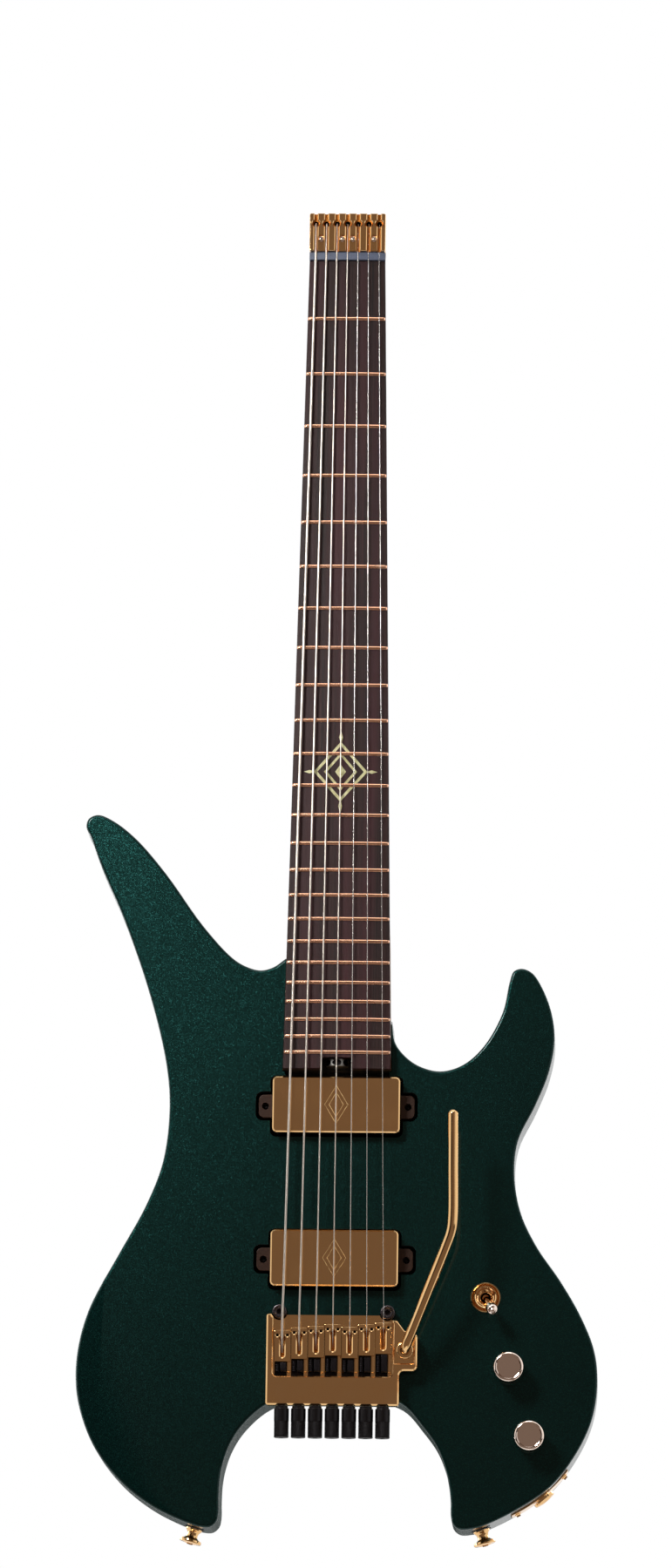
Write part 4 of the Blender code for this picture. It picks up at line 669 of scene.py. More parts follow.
def ranged(tree, value, **limits):
    inputs = {key.replace("_", " "): limit for key, limit in limits.items()}
    return add(tree, "ShaderNodeMapRange", {"Value": value, **inputs}).outputs[0]


def bumped(tree, height, strength, distance):
    inputs = {"Height": height, "Strength": strength, "Distance": distance}
    return add(tree, "ShaderNodeBump", inputs).outputs["Normal"]


def vector(tree, operation, **inputs):
    """A step of vector arithmetic; its inputs are named a, b and scale."""
    keys = {"a": 0, "b": 1, "scale": "Scale"}
    values = {keys[key]: value for key, value in inputs.items()}
    return add(tree, "ShaderNodeVectorMath", values, operation=operation).outputs[0]


def metallic_lacquer():
    """Sprayed metallic lacquer under polished clear coat: deep green with a fine glitter of flakes."""
    made, tree, shader, place = finish(
        "metallic_lacquer", Metallic=0.8, Roughness=0.36, Specular_IOR_Level=0.05, Coat_Weight=0.42,
        Coat_IOR=1.38, Coat_Roughness=0.03,
    )
    # A real flake is about 0.1 mm; 0.5 mm is the finest that shows from where the camera stands.
    flake = add(tree, "ShaderNodeTexVoronoi", {"Vector": place, "Scale": 1 / 0.0005}).outputs["Color"]
    spread = add(tree, "ShaderNodeSeparateColor", {"Color": flake}).outputs["Red"]
    depth = mixed(tree, noise(tree, place, 7.0, 2.0), "#092422", "#0d2d2a")
    bright = ranged(tree, spread, From_Min=0.7, From_Max=1.0, To_Max=0.24)
    # Each flake leans its own way, so that some catch the key light and their neighbours don't.
    tilt = vector(tree, "SUBTRACT", a=flake, b=(0.5, 0.5, 0.5))
    lean = vector(tree, "SCALE", a=tilt, scale=0.20)
    facing = add(tree, "ShaderNodeNewGeometry", {}).outputs["Normal"]
    leaning = vector(tree, "NORMALIZE", a=vector(tree, "ADD", a=facing, b=lean))
    # The clear coat is buffed flat, with a trace of orange peel about 2 mm across.
    peel = noise(tree, place, 1 / 0.002, 1.0)
    link(tree, shader, Base_Color=mixed(tree, bright, depth, "#1f5449"), Normal=leaning,
         Coat_Normal=bumped(tree, peel, 0.02, 0.0002))
    return made


def shielding_and_painted_shade():
    """Brushed-on black conductive paint in the body's cavities: dull, streaky and slightly rough. On the
    neck's end face and in the truss wheel's room it is painted shade.
    """
    made, tree, shader, place = finish("shielding_and_painted_shade", Roughness=0.8)
    brush = noise(tree, place, (300.0, 300.0, 900.0), 4.0)
    link(tree, shader, Base_Color=mixed(tree, brush, "#0b0a0a", "#1c1a19"),
         Normal=bumped(tree, brush, 1.0, 0.0002))
    return made


def wood(name, dark, light, red, streak, roughness, pore_depth):
    """Planed wood with its grain along the neck: long streaks, fine pores and a satin or oiled face."""
    made, tree, shader, place = finish(name, Specular_IOR_Level=0.22)
    figure = noise(tree, place, (1 / streak, 1 / streak, 6.0), 6.0, Roughness=0.62, Distortion=0.4)
    contrast = ranged(tree, figure, From_Min=0.32, From_Max=0.68)
    broad = noise(tree, place, (90.0, 90.0, 3.0), 3.0)
    warm = ranged(tree, broad, From_Min=0.42, From_Max=0.7)
    colour = mixed(tree, warm, mixed(tree, contrast, dark, light), red)
    # Pores are about 0.15 mm wide and a few millimetres long.
    pores = noise(tree, place, (3200.0, 3200.0, 160.0), 2.0)
    polish = ranged(tree, figure, To_Min=roughness - 0.08, To_Max=roughness + 0.1)
    link(tree, shader, Base_Color=colour, Roughness=polish, Normal=bumped(tree, pores, pore_depth, 0.0002))
    return made


def plated_metal(name, colour, worn, roughness, grain=(3000.0, 3000.0, 260.0)):
    """Polished and plated metal: hazy in places where hands and cloths rubbed it, with hairline marks."""
    made, tree, shader, place = finish(name, Metallic=1.0)
    haze = noise(tree, place, 70.0, 3.0)
    rubbed = ranged(tree, haze, From_Min=0.3, From_Max=0.75, To_Min=roughness * 0.7, To_Max=roughness * 1.5)
    # Hairlines run mostly one way, 0.3 mm apart where they show.
    hair = noise(tree, place, grain, 2.0)
    link(tree, shader, Base_Color=mixed(tree, haze, colour, worn), Roughness=rubbed,
         Normal=bumped(tree, hair, 0.015, 0.0001))
    return made


def dark_finish(name, dark, light, metallic, roughness, grit, relief, gloss=0.5):
    """A moulded, anodised or blackened surface: a fine even grit that breaks up the light."""
    made, tree, shader, place = finish(name, Metallic=metallic, Specular_IOR_Level=gloss)
    grain = noise(tree, place, 1 / grit, 3.0)
    sheen = ranged(tree, grain, To_Min=roughness - 0.12, To_Max=roughness + 0.12)
    link(tree, shader, Base_Color=mixed(tree, grain, dark, light), Roughness=sheen,
         Normal=bumped(tree, grain, relief, 0.0002))
    return made


def wound_wire():
    """Nickel wire wound on a steel core: a run of close ribs across the string."""
    made, tree, shader, place = finish("wound_nickel_wire", Metallic=1.0, Roughness=0.3)
    # The real wire is about 0.25 mm; the ribs are drawn 0.5 mm apart so that they show.
    ribs = add(tree, "ShaderNodeTexWave", {
        "Vector": place, "Scale": math.pi / 10 / 0.0005, "Distortion": 0.0,
    }, bands_direction="Z", wave_profile="SIN").outputs["Fac"]
    # The ribs' crests are painted lighter and the troughs between them darker: painted highlight and shade.
    link(tree, shader, Base_Color=mixed(tree, ribs, "#c4bbb0", "#eee4d8"),
         Normal=bumped(tree, ribs, 0.08, 0.0001))
    return made


def pearl():
    """Cut and polished gold-lip shell: pale cream with soft bands of light and dark figure."""
    made, tree, shader, place = finish("gold_lip_shell", Roughness=0.28, Coat_Weight=0.4, Coat_Roughness=0.1)
    figure = noise(tree, place, 240.0, 3.0, Distortion=1.5)
    bands = ranged(tree, figure, From_Min=0.35, From_Max=0.65)
    link(tree, shader, Base_Color=mixed(tree, bands, "#b3ab77", "#d8d2a6"),
         Normal=bumped(tree, figure, 0.05, 0.0001))
    return made


def felt():
    """Pressed wool felt: dull, with a fuzz of short fibres."""
    made, tree, shader, place = finish("wool_felt", Roughness=0.95, Sheen_Weight=0.4, Sheen_Roughness=0.6)
    fibre = noise(tree, place, 2600.0, 5.0)
    link(tree, shader, Base_Color=mixed(tree, fibre, "#0d0b0b", "#2b2725"),
         Normal=bumped(tree, fibre, 0.8, 0.0003))
    return made


LACQUER = metallic_lacquer()
SHIELDING_AND_SHADE = shielding_and_painted_shade()
MAPLE = wood("satin_roasted_maple", "#8a5a30", "#b98650", "#a8703c", 0.0016, 0.42, 0.25)
ROSEWOOD = wood("oiled_rosewood", "#170e0d", "#331e1b", "#3c1d20", 0.0011, 0.5, 0.6)
GOLD = plated_metal("polished_gold_plate", "#f2c992", "#e9b678", 0.12)
COVER_GOLD = plated_metal("satin_gold_plate", "#efc690", "#e6b67c", 0.12, (260.0, 3000.0, 3000.0))
ENGRAVED_GOLD = plated_metal("engraved_gold_plate", "#e0c08c", "#cda873", 0.5)
# Rougher gold for milled faces; its deep orange is painted reflection, the glow of gold reflecting gold
# inside the slots.
MILLED_GOLD_WITH_PAINTED_REFLECTION = plated_metal("milled_gold_with_painted_reflection", "#dc9647", "#c07a34", 0.45)
KNOB_GOLD = plated_metal("turned_pale_gold_plate", "#fae7da", "#f5e0d0", 0.09)
FRET_METAL = plated_metal("polished_copper_alloy", "#ecbb9c", "#dca585", 0.22, (260.0, 3000.0, 3000.0))
WOUND_WIRE = wound_wire()
PLAIN_WIRE = plated_metal("drawn_steel_wire", "#e4e0da", "#d2cdc6", 0.22)
STEEL = plated_metal("zinc_plated_steel", "#b9b8b4", "#9d9a92", 0.35)
BRASS = plated_metal("machined_brass", "#c9a15a", "#b48c48", 0.3)
BLACK_STEEL_AND_SHADE = dark_finish("blackened_steel_and_painted_shade", "#151214", "#2b2628", 0.85, 0.38, 0.0005, 0.15)
BLACK_NICKEL = dark_finish("black_nickel_plate", "#4a4548", "#625b5c", 1.0, 0.27, 0.0006, 0.05)
BLACK_ANODISED_AND_SHADE = dark_finish("black_anodised_aluminium_and_painted_shade", "#0d0a0b", "#1b1517", 0.6, 0.36, 0.0004, 0.1)
GRAPHITE = dark_finish("pressed_graphite_nut", "#4a5164", "#656d82", 0.0, 0.42, 0.0006, 0.15)
BASE_PLASTIC = dark_finish("moulded_phenolic_base", "#22140e", "#3c271c", 0.0, 0.42, 0.0008, 0.15, 0.2)
COVER_PLASTIC = dark_finish("moulded_ABS_cover", "#0d0d0d", "#1a1a1a", 0.0, 0.45, 0.0005, 0.35)
SHELL = pearl()
FELT = felt()


# ---------------------------------------------------------------- screws

def hex_screw(radius, height, socket):
    """A cap head standing on the origin, with a hexagon socket."""
    edge = height * 0.3
    profile = [(0, -height), (radius * 0.6, -height), (radius * 0.6, 0), (radius, 0),
               *arc(radius - edge, height - edge, edge, 0, 90, 4), (0, height)]
    head = turned(profile, (0, 0, 0), UP, 28)
    key = bmesh.new()
    bmesh.ops.create_cone(key, cap_ends=True, segments=6, radius1=socket, radius2=socket, depth=height)
    bmesh.ops.translate(key, vec=(0, 0, height * 0.8), verts=key.verts)
    return carved(head, [key])


def cross_screw(radius, height):
    """An oval head standing on the origin, with a cross recess."""
    profile = [(0, -height * 2), (radius * 0.5, -height * 2), (radius * 0.55, -height * 0.6), (radius, 0),
               *arc(0, height - radius * 1.3, radius * 1.3, math.degrees(math.acos(1 / 1.3)), 90, 5)]
    profile[-1] = (0, profile[-1][1])
    head = turned(profile, (0, 0, 0), UP, 24)
    for turn in (0, math.pi / 2):
        slot = bmesh.new()
        bmesh.ops.create_cube(slot, size=1)
        bmesh.ops.scale(slot, vec=(radius * 1.15, radius * 0.24, height * 1.2), verts=slot.verts)
        bmesh.ops.translate(slot, vec=(0, 0, height), verts=slot.verts)
        bmesh.ops.rotate(slot, matrix=Matrix.Rotation(turn, 3, "Z"), verts=slot.verts)
        head = carved(head, [slot])
    return head


# ---------------------------------------------------------------- body

def forearm_plane():
    """The plane that falls away from the forearm crease towards the bass side."""
    first, second = (at(x, 0, z) for x, z in FOREARM_CREASE)
    outward = OUTWARD.cross(second - first).normalized()
    if outward.x > 0:
        outward = -outward
    return first, (OUTWARD * math.cos(FOREARM_SLOPE) + outward * math.sin(FOREARM_SLOPE)).normalized()


def make_body():
    """The body with its forearm facet, belly scoop, and the rooms and bores that it needs."""
    outline = [tuple(point) for point in smooth_path(BODY_EDGE, 6)]
    bm = plate(outline, -BODY_THICKNESS, 0)
    trim(bm, *forearm_plane())
    rim = []
    for edge in bm.edges:
        facing = [abs(face.normal.y) > 0.5 for face in edge.link_faces]
        if any(facing) and not all(facing):
            rim.append(edge)
    soften(bm, rim, BODY_EDGE_ROUND, 8)
    along = Vector((-math.cos(BELLY_SLOPE), -math.sin(BELLY_SLOPE), 0))
    away = Vector((-math.sin(BELLY_SLOPE), math.cos(BELLY_SLOPE), 0))
    start = at(BELLY_X, -BODY_THICKNESS, BELLY_Z) - along * 0.04
    bm = carved(bm, [rod(BELLY_RADIUS, start + away * BELLY_RADIUS, along, 0.16, 160)])
    low, high = BOARD_END_Z - POCKET_ROOM, BOARD_END_Z + HEEL_LENGTH + POCKET_RUN_OUT
    half_low, half_high = board_half_width(low) + POCKET_ROOM, board_half_width(high) + POCKET_ROOM
    pocket = ((-half_low, low), (half_low, low), (half_high, high), (-half_high, high))
    bm = carved(bm, [plate(pocket, -HEEL_DEPTH - POCKET_ROOM, BOARD_TOP)], 1)
    half_passage = WHEEL_PASSAGE_HALF_WIDTH
    passage = block(-half_passage, half_passage, -WHEEL_PASSAGE_DEPTH, GAP, NECK_PICKUP_Z + 0.0150,
                    BOARD_END_Z + 0.0002)
    rooms = [carved(pickup_room(NECK_PICKUP_Z), [passage], 0, "UNION"), pickup_room(BRIDGE_PICKUP_Z)]
    bm = carved(bm, rooms, 1)
    half_slot = HALF_PLATE - BLOCK_INSET + BLOCK_ROOM
    slot = block(-half_slot, half_slot, -BLOCK_SLOT_DEPTH, GAP, BLOCK_SLOT_LOW_Z, BLOCK_SLOT_HIGH_Z)
    bm = carved(bm, [slot], 1)
    back = -BODY_THICKNESS
    hollows = [plate(spring_cavity(0), back - GAP, back + SPRING_CAVITY_DEPTH),
               plate(control_cavity(0), back - GAP, CONTROL_CAVITY_CEILING)]
    bm = carved(bm, hollows, 1)
    ledges = [plate(spring_cavity(COVER_LEDGE), back - GAP, back + COVER_THICKNESS + GAP),
              plate(control_cavity(COVER_LEDGE), back - GAP, back + COVER_THICKNESS + GAP)]
    bm = carved(bm, ledges, 1)
    holes = []
    for side in (-1, 1):
        holes.append(rod(POST_RADIUS + GAP, at(side * POST_X, GAP, POST_Z), INWARD, POST_HOLE_DEPTH))
        claw_screw = at(side * CLAW_SCREW_X, -CLAW_SCREW_DEPTH, CLAW_SCREW_LOW_Z)
        holes.append(rod(CLAW_SCREW_BORE, claw_screw, UP, CLAW_SCREW_BITE, 12))
    for _name, x, z in KNOB_PLACES:
        holes.append(rod(POT_BORE, at(x, GAP, z), INWARD, CONTROL_BORE_DEPTH))
    holes.append(rod(SWITCH_BORE, at(SWITCH_X, GAP, SWITCH_Z), INWARD, CONTROL_BORE_DEPTH))
    bm = carved(bm, holes, 1)
    radius = jack_circle()[1]
    recess = jack_strip(radius - JACK_RECESS_DEPTH, radius + 0.0075, GAP, JACK_RECESS_HALF_HEIGHT)
    bm = carved(bm, [recess], 1)
    face, outward = jack_axis()
    bm = carved(bm, [rod(JACK_BORE, face + outward * 0.0024, -outward, JACK_BORE_DEPTH)], 1)
    fit("lacquered_body", bm, (LACQUER, SHIELDING_AND_SHADE), "guitar", ("body",), 12.5)


def pickup_room(z):
    """The pickup's cavity, with a bay for the ear at each end."""
    half_width = PICKUP_WIDTH / 2 + PICKUP_MARGIN
    half_length = PICKUP_LENGTH / 2 + PICKUP_MARGIN
    half_span = EAR_SPAN / 2 + PICKUP_MARGIN
    half_ear = EAR_LENGTH / 2 + PICKUP_MARGIN
    ears = rounded_rectangle(0, z, 2 * half_span, 2 * half_ear, 0.0042)
    middle = rounded_rectangle(0, z, 2 * half_width, 2 * half_length, 0.0040)
    rooms = [plate(outline, -PICKUP_CAVITY_DEPTH, GAP) for outline in (middle, ears)]
    return carved(rooms[0], rooms[1:], 0, "UNION")


def spring_cavity(margin):
    width = (HALF_PLATE - 0.001 + margin) * 2
    return rounded_rectangle(0, SPRING_CAVITY_MIDDLE_Z, width, SPRING_CAVITY_LENGTH + 2 * margin, 0.006)


def control_cavity(margin):
    middle = Vector((0, 0))
    for point in CONTROL_CAVITY:
        middle += Vector(point) / len(CONTROL_CAVITY)
    grown = [Vector(point) + (Vector(point) - middle).normalized() * margin for point in CONTROL_CAVITY]
    return rounded(grown, 0.012)


# ---------------------------------------------------------------- neck

def neck_ring(z, depth, squareness, half_width):
    """Half a superellipse under a flat top; the higher the squareness, the squarer its corners."""
    quarter = []
    for step in range(17):
        angle = math.pi / 2 * step / 16
        across = round(math.cos(angle), 9) ** (2 / squareness)
        down = math.sin(angle) ** (2 / squareness)
        quarter.append((half_width * across, NECK_TOP - depth * down))
    treble = [at(x, height, z) for x, height in quarter]
    bass = [at(-x, height, z) for x, height in quarter[:-1]]
    return treble + bass[::-1]


def make_neck():
    """The neck from its square heel over the shaft to the flat that the headpiece sits on."""
    heel_top = BOARD_END_Z + HEEL_LENGTH
    heel_depth = HEEL_DEPTH + NECK_TOP
    rings = [neck_ring(BOARD_END_Z, heel_depth, HEEL_END_SQUARENESS, board_half_width(BOARD_END_Z))]
    steps = 12
    # Past the body the heel's square section rounds off into the shaft's.
    for step in range(steps + 1):
        share = step / steps
        ease = share * share * (3 - 2 * share)
        z = heel_top + HEEL_BLEND * share
        depth = heel_depth + (NECK_DEPTH_AT_HEEL - heel_depth) * ease
        rings.append(neck_ring(z, depth, HEEL_SQUARENESS / (1 + 4.2 * ease), board_half_width(z)))
    shaft = heel_top + HEEL_BLEND
    for step in range(1, steps + 1):
        share = step / steps
        z = shaft + (NUT_Z - shaft) * share
        depth = NECK_DEPTH_AT_HEEL + (NECK_DEPTH_AT_NUT - NECK_DEPTH_AT_HEEL) * share
        rings.append(neck_ring(z, depth, SHAFT_SQUARENESS, board_half_width(z)))
    half_head = HEADPIECE_WIDTH / 2
    rings.append(neck_ring(NUT_Z + 0.004, NECK_DEPTH_AT_NUT, 2.5, half_head))
    rings.append(neck_ring(HEAD_END_Z - 0.0012, NECK_DEPTH_AT_NUT, HEAD_SQUARENESS, half_head))
    rings.append(neck_ring(HEAD_END_Z, NECK_DEPTH_AT_NUT - 0.0008, HEAD_SQUARENESS, half_head - 0.0008))
    bm = loft(rings)
    half, half_channel = WHEEL_NOTCH_WIDTH / 2, TRUSS_CHANNEL_HALF_WIDTH
    channel = block(-half_channel, half_channel, -TRUSS_CHANNEL_DEPTH, NECK_TOP + GAP,
                    TRUSS_CHANNEL_LOW_Z, TRUSS_CHANNEL_HIGH_Z)
    bm = carved(bm, [channel])
    # The truss wheel's room takes the black paint: painted shade under the board's end.
    wheel_room = block(-half, half, -WHEEL_ROOM_DEPTH, BOARD_TOP, BOARD_END_Z - GAP,
                       BOARD_END_Z + WHEEL_NOTCH_LENGTH)
    bm = carved(bm, [wheel_room], 1)
    # The neck's end face below the board takes the black paint too: painted shade.
    for face in bm.faces:
        if face.normal.z < -0.9 and face.calc_center_median().z < BOARD_END_Z + 0.001:
            face.material_index = 1
    fit("neck_wood_shaft", bm, (MAPLE, SHIELDING_AND_SHADE), "guitar", ("neck",), 25)


def make_fretboard():
    """The crowned board, with the notch for the truss rod's wheel in its end."""
    rows = []
    for step in range(27):
        z = BOARD_END_Z + (NUT_Z - GAP - BOARD_END_Z) * step / 26
        half = board_half_width(z)
        ring = [at(half, BOARD_TOP - BOARD_THICKNESS, z), at(-half, BOARD_TOP - BOARD_THICKNESS, z)]
        for across in range(17):
            x = -half + 2 * half * across / 16
            ring.append(at(x, BOARD_TOP - crown_drop(x), z))
        rows.append(ring)
    bm = loft(rows)
    # Only the board's upper edges are rounded, not those at its foot.
    edges = [edge for edge in sharp_edges(bm, 60) if all(vert.co.y < -0.0125 for vert in edge.verts)]
    soften(bm, edges, 0.0006, 3)
    half = WHEEL_NOTCH_WIDTH / 2
    notch = plate(rounded((
        (-half, BOARD_END_Z - 0.004), (half, BOARD_END_Z - 0.004),
        (half, BOARD_END_Z + WHEEL_NOTCH_LENGTH), (-half, BOARD_END_Z + WHEEL_NOTCH_LENGTH),
    ), 0.0012), 0, BOARD_TOP + 0.001)
    bm = carved(bm, [notch])
    fit("rosewood_board", bm, ROSEWOOD, "guitar", ("fretboard",), 25)


def make_frets():
    """Each fret is a crowned bar bent over the board, with its ends filed round."""
    frets = []
    for number in range(1, FRET_COUNT + 1):
        z = fret_z(number)
        half = board_half_width(z) - 0.0003
        stations = [(-half, 0.12), (-half + 0.0002, 0.5), (-half + 0.0007, 0.86), (-half + 0.0014, 1.0)]
        stations += [(half * share / 5, 1.0) for share in range(-4, 5)]
        stations += [(-x, size) for x, size in reversed(stations[:4])]
        rings = []
        for x, size in stations:
            base = BOARD_TOP - crown_drop(x)
            ring = []
            for step in range(9):
                angle = math.pi * step / 8
                rise = FRET_HEIGHT * size * math.sin(angle) ** 0.8
                ring.append(at(x, base + rise, z + FRET_WIDTH / 2 * math.cos(angle) * (0.6 + 0.4 * size)))
            ring += [at(x, base - 0.0004, z - 0.0008), at(x, base - 0.0004, z + 0.0008)]
            rings.append(ring)
        frets.append(loft(rings))
    fit("frets", joined(frets), FRET_METAL, "guitar", (), 50)


def make_inlay():
    """Nested lozenges with four darts, let into the board round the twelfth fret."""
    middle = INLAY_Z
    low, high = BOARD_TOP - 0.0006, BOARD_TOP + 0.00006

    def lozenge(half_width, half_height, z=middle, x=0.0):
        return ((x, z - half_height), (x + half_width, z), (x, z + half_height), (x - half_width, z))

    shapes = [frame_plate(lozenge(0.0168, 0.0190), 0.0017, low, high),
              frame_plate(lozenge(0.0104, 0.0122), 0.0015, low, high),
              plate(lozenge(0.0034, 0.0046), low, high)]
    for side in (-1, 1):
        shapes.append(plate(lozenge(0.0012, 0.0045, middle + side * 0.0218), low, high))
        shapes.append(plate(lozenge(0.0036, 0.0011, middle, side * 0.0194), low, high))
    bm = joined(shapes)
    long_edges = [edge for edge in bm.edges if edge.calc_length() > 0.003]
    bmesh.ops.subdivide_edges(bm, edges=long_edges, cuts=7, use_grid_fill=False)
    for vert in bm.verts:
        vert.co.y += crown_drop(vert.co.x)
    fit("board_inlay", bm, SHELL, "guitar", (), 30)
    dots = []
    for number in SIDE_DOT_FRETS:
        z = (fret_z(number) + fret_z(number - 1)) / 2
        for shift in ((-0.003, 0.003) if number in OCTAVE_FRETS else (0,)):
            x = -board_half_width(z + shift)
            dots.append(turned(((0, -0.001), (0.001, -0.001), (0.001, 0.00004), (0, 0.00006)),
                               at(x, BOARD_TOP - 0.0033, z + shift), (-1, 0, 0), 20))
    fit("side_dots", joined(dots), SHELL, "guitar", (), 30)


def make_truss_wheel():
    """The spoked wheel at the board's end, with six wide openings for a turning pin."""
    edge, opening, widening, inner, depth = 0.0006, 0.0021, 1.38, 0.0040, 0.005
    profile = [(0, 0), *arc(WHEEL_RADIUS - edge, -edge, edge, 90, 0, 3),
               *arc(WHEEL_RADIUS - edge, edge - WHEEL_THICKNESS, edge, 0, -90, 3), (0, -WHEEL_THICKNESS)]
    centre = at(0, WHEEL_HEIGHT, BOARD_END_Z + WHEEL_NOTCH_LENGTH - GAP)
    wheel = turned(profile, centre, UP, 48)
    for step in range(6):
        angle = math.tau * step / 6 - math.pi / 2
        ray = Vector((math.cos(angle), math.sin(angle), 0))
        hole = rod(opening, (0, 0, 0), UP, depth, 28)
        bmesh.ops.scale(hole, vec=(1, widening, 1), verts=hole.verts)
        start = centre + ray * inner - UP * WHEEL_THICKNESS / 2
        axes = Matrix((UP, ray.cross(UP), ray)).transposed().to_4x4()
        bmesh.ops.transform(hole, matrix=Matrix.Translation(start) @ axes, verts=hole.verts)
        # Each opening's wall takes blackened steel: painted shade inside it.
        wheel = carved(wheel, [hole], 1)
    fit("truss_rod_wheel", wheel, (STEEL, BLACK_STEEL_AND_SHADE), "truss_wheel", ("truss_wheel",))


def make_nut():
    """The nut, as crowned as the board, with a slot for each string."""
    low, high = NUT_Z, NUT_Z + NUT_LENGTH
    half = BOARD_NUT_WIDTH / 2
    rings = []
    for z, drop in ((low, 0.0003), (low + 0.0006, 0), (high - 0.0004, 0.0002), (high, 0.0006)):
        ring = [at(half, NECK_TOP + GAP, z), at(-half, NECK_TOP + GAP, z)]
        for step in range(17):
            x = -half + 2 * half * step / 16
            ring.append(at(x, BOARD_TOP - crown_drop(x) + 0.0021 - drop, z))
        rings.append(ring)
    bm = loft(rings)
    slots = []
    for index, radius in enumerate(STRING_RADII):
        x = string_x(index, NUT_Z)
        height = string_height(index, NUT_Z)
        width = radius + 0.00008
        floor = height - radius - 0.00006
        slots.append(block(x - width, x + width, floor, height + 0.003, low - GAP, high + GAP))
    bm = carved(bm, slots)
    fit("slotted_nut", bm, GRAPHITE, "guitar", ("nut",), 30)


def make_headpiece():
    """The gold block that holds the strings: seven keyhole slots, and four screws in open seats."""
    low = NUT_Z + NUT_LENGTH + GAP
    middle = low + HEADPIECE_LENGTH / 2
    top = string_height(0, NUT_Z) + HEADPIECE_RISE
    outline = rounded_rectangle(0, middle, HEADPIECE_WIDTH, HEADPIECE_LENGTH, 0.0011, 4)
    bm = plate(outline, NECK_TOP + GAP, top)
    soften(bm, sharp_edges(bm, 60, top), 0.0007, 3)
    hole_z, hole = HEAD_END_Z - HEADPIECE_HOLE_FROM_END, HEADPIECE_HOLE_RADIUS
    half = HEADPIECE_SLOT / 2
    mouth = math.degrees(math.acos(half / hole))
    slots, drills = [], []
    for index in range(STRING_COUNT):
        x = string_x(index, NUT_Z)
        floor = string_height(index, NUT_Z) - STRING_RADII[index] - GAP
        keyhole = [
            (x - half, low - GAP), (x + half, low - GAP), *arc(x, hole_z, hole, -mouth, mouth, 14),
            (x + half, HEAD_END_Z + GAP), (x - half, HEAD_END_Z + GAP),
            *arc(x, hole_z, hole, 180 - mouth, 180 + mouth, 14),
        ]
        slots.append(plate(keyhole, floor, top + GAP))
        drills.append(rod(0.0017, at(x, floor + GAP, hole_z), INWARD, 0.0045, 24))
    # The slots' walls and floors take the orange milled gold: painted reflection.
    bm = carved(bm, slots, 1)
    # The drilled holes' walls take blackened steel: painted shade inside them.
    bm = carved(bm, drills, 2)
    # The slots' rims are chamfered, and the chamfers plated like the outside.
    soften(bm, sharp_edges(bm, 60, top), 0.0005, 1)
    for face in bm.faces:
        if -0.95 < face.normal.y < -0.3:
            face.material_index = 0
    screw_z, seat = low + 0.0083, HEADPIECE_SCREW_RADIUS
    lands = [(string_x(index, NUT_Z) + string_x(index + 1, NUT_Z)) / 2 for index in (0, 2, 3, 5)]
    seats = [plate([(x - seat, low - GAP), (x + seat, low - GAP), *arc(x, screw_z, seat, 0, 180, 16)],
                   top - 0.0014, top + GAP) for x in lands]
    bm = carved(bm, seats)
    finishes = (GOLD, MILLED_GOLD_WITH_PAINTED_REFLECTION, BLACK_STEEL_AND_SHADE)
    fit("headpiece_block", bm, finishes, "guitar", ("headpiece",), 28)
    moves = [aimed(at(x, top - 0.0012, screw_z - 0.0002), OUTWARD) for x in lands]
    fit("headpiece_screws", copies(cross_screw(seat, 0.0009), moves), KNOB_GOLD, "guitar")


# ---------------------------------------------------------------- strings

def make_strings():
    """Each string leaves its hole in the headpiece, crosses nut and board and dives into its saddle."""
    hole_z = HEAD_END_Z - HEADPIECE_HOLE_FROM_END
    spans = 24
    for index, radius in enumerate(STRING_RADII):
        nose = saddle_nose_z(index)
        head_x, head_height = string_x(index, NUT_Z), string_height(index, NUT_Z)
        x, height = string_x(index, nose), string_height(index, nose)
        slot_height = PLATE_TOP + GAP + SADDLE_FLOOR + GAP + radius
        end_z = saddle_rear_z(index) + 0.0048 + radius
        knots = [
            at(head_x, head_height - 0.0032, hole_z + 0.0002), at(head_x, head_height - 0.0008, hole_z),
            at(head_x, head_height, hole_z - 0.0009), at(head_x, head_height, NUT_Z + NUT_LENGTH),
            at(head_x, head_height, NUT_Z),
        ]
        knots += [knots[4].lerp(at(x, height, nose), step / spans) for step in range(1, spans)]
        # Near the bridge there are more knots, where the real string bends as the tremolo turns.
        knots += [at(x, height, nose + 0.0120), at(x, height, nose + 0.0060), at(x, height, nose + 0.0012)]
        # The dive starts low enough for the saddle to slide under it.
        knots += smooth_path((
            at(x, height, nose), at(x, height - 0.00005, nose - 0.0030),
            at(x, height - 0.00035, nose - 0.0050), at(x, height - 0.0012, nose - 0.0066),
            at(x, slot_height + 0.0006, end_z + 0.0016), at(x, slot_height, end_z),
        ), 3)
        knots.sort(key=lambda knot: -knot.z)
        bm = round_bar(knots, [radius] * len(knots), 3)
        wire = WOUND_WIRE if index < WOUND_STRINGS else PLAIN_WIRE
        name = f"string_{index + 1}"
        piece = fit(f"{name}_wire", bm, wire, None, (name,), 60)
        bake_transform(piece)


# ---------------------------------------------------------------- pickups

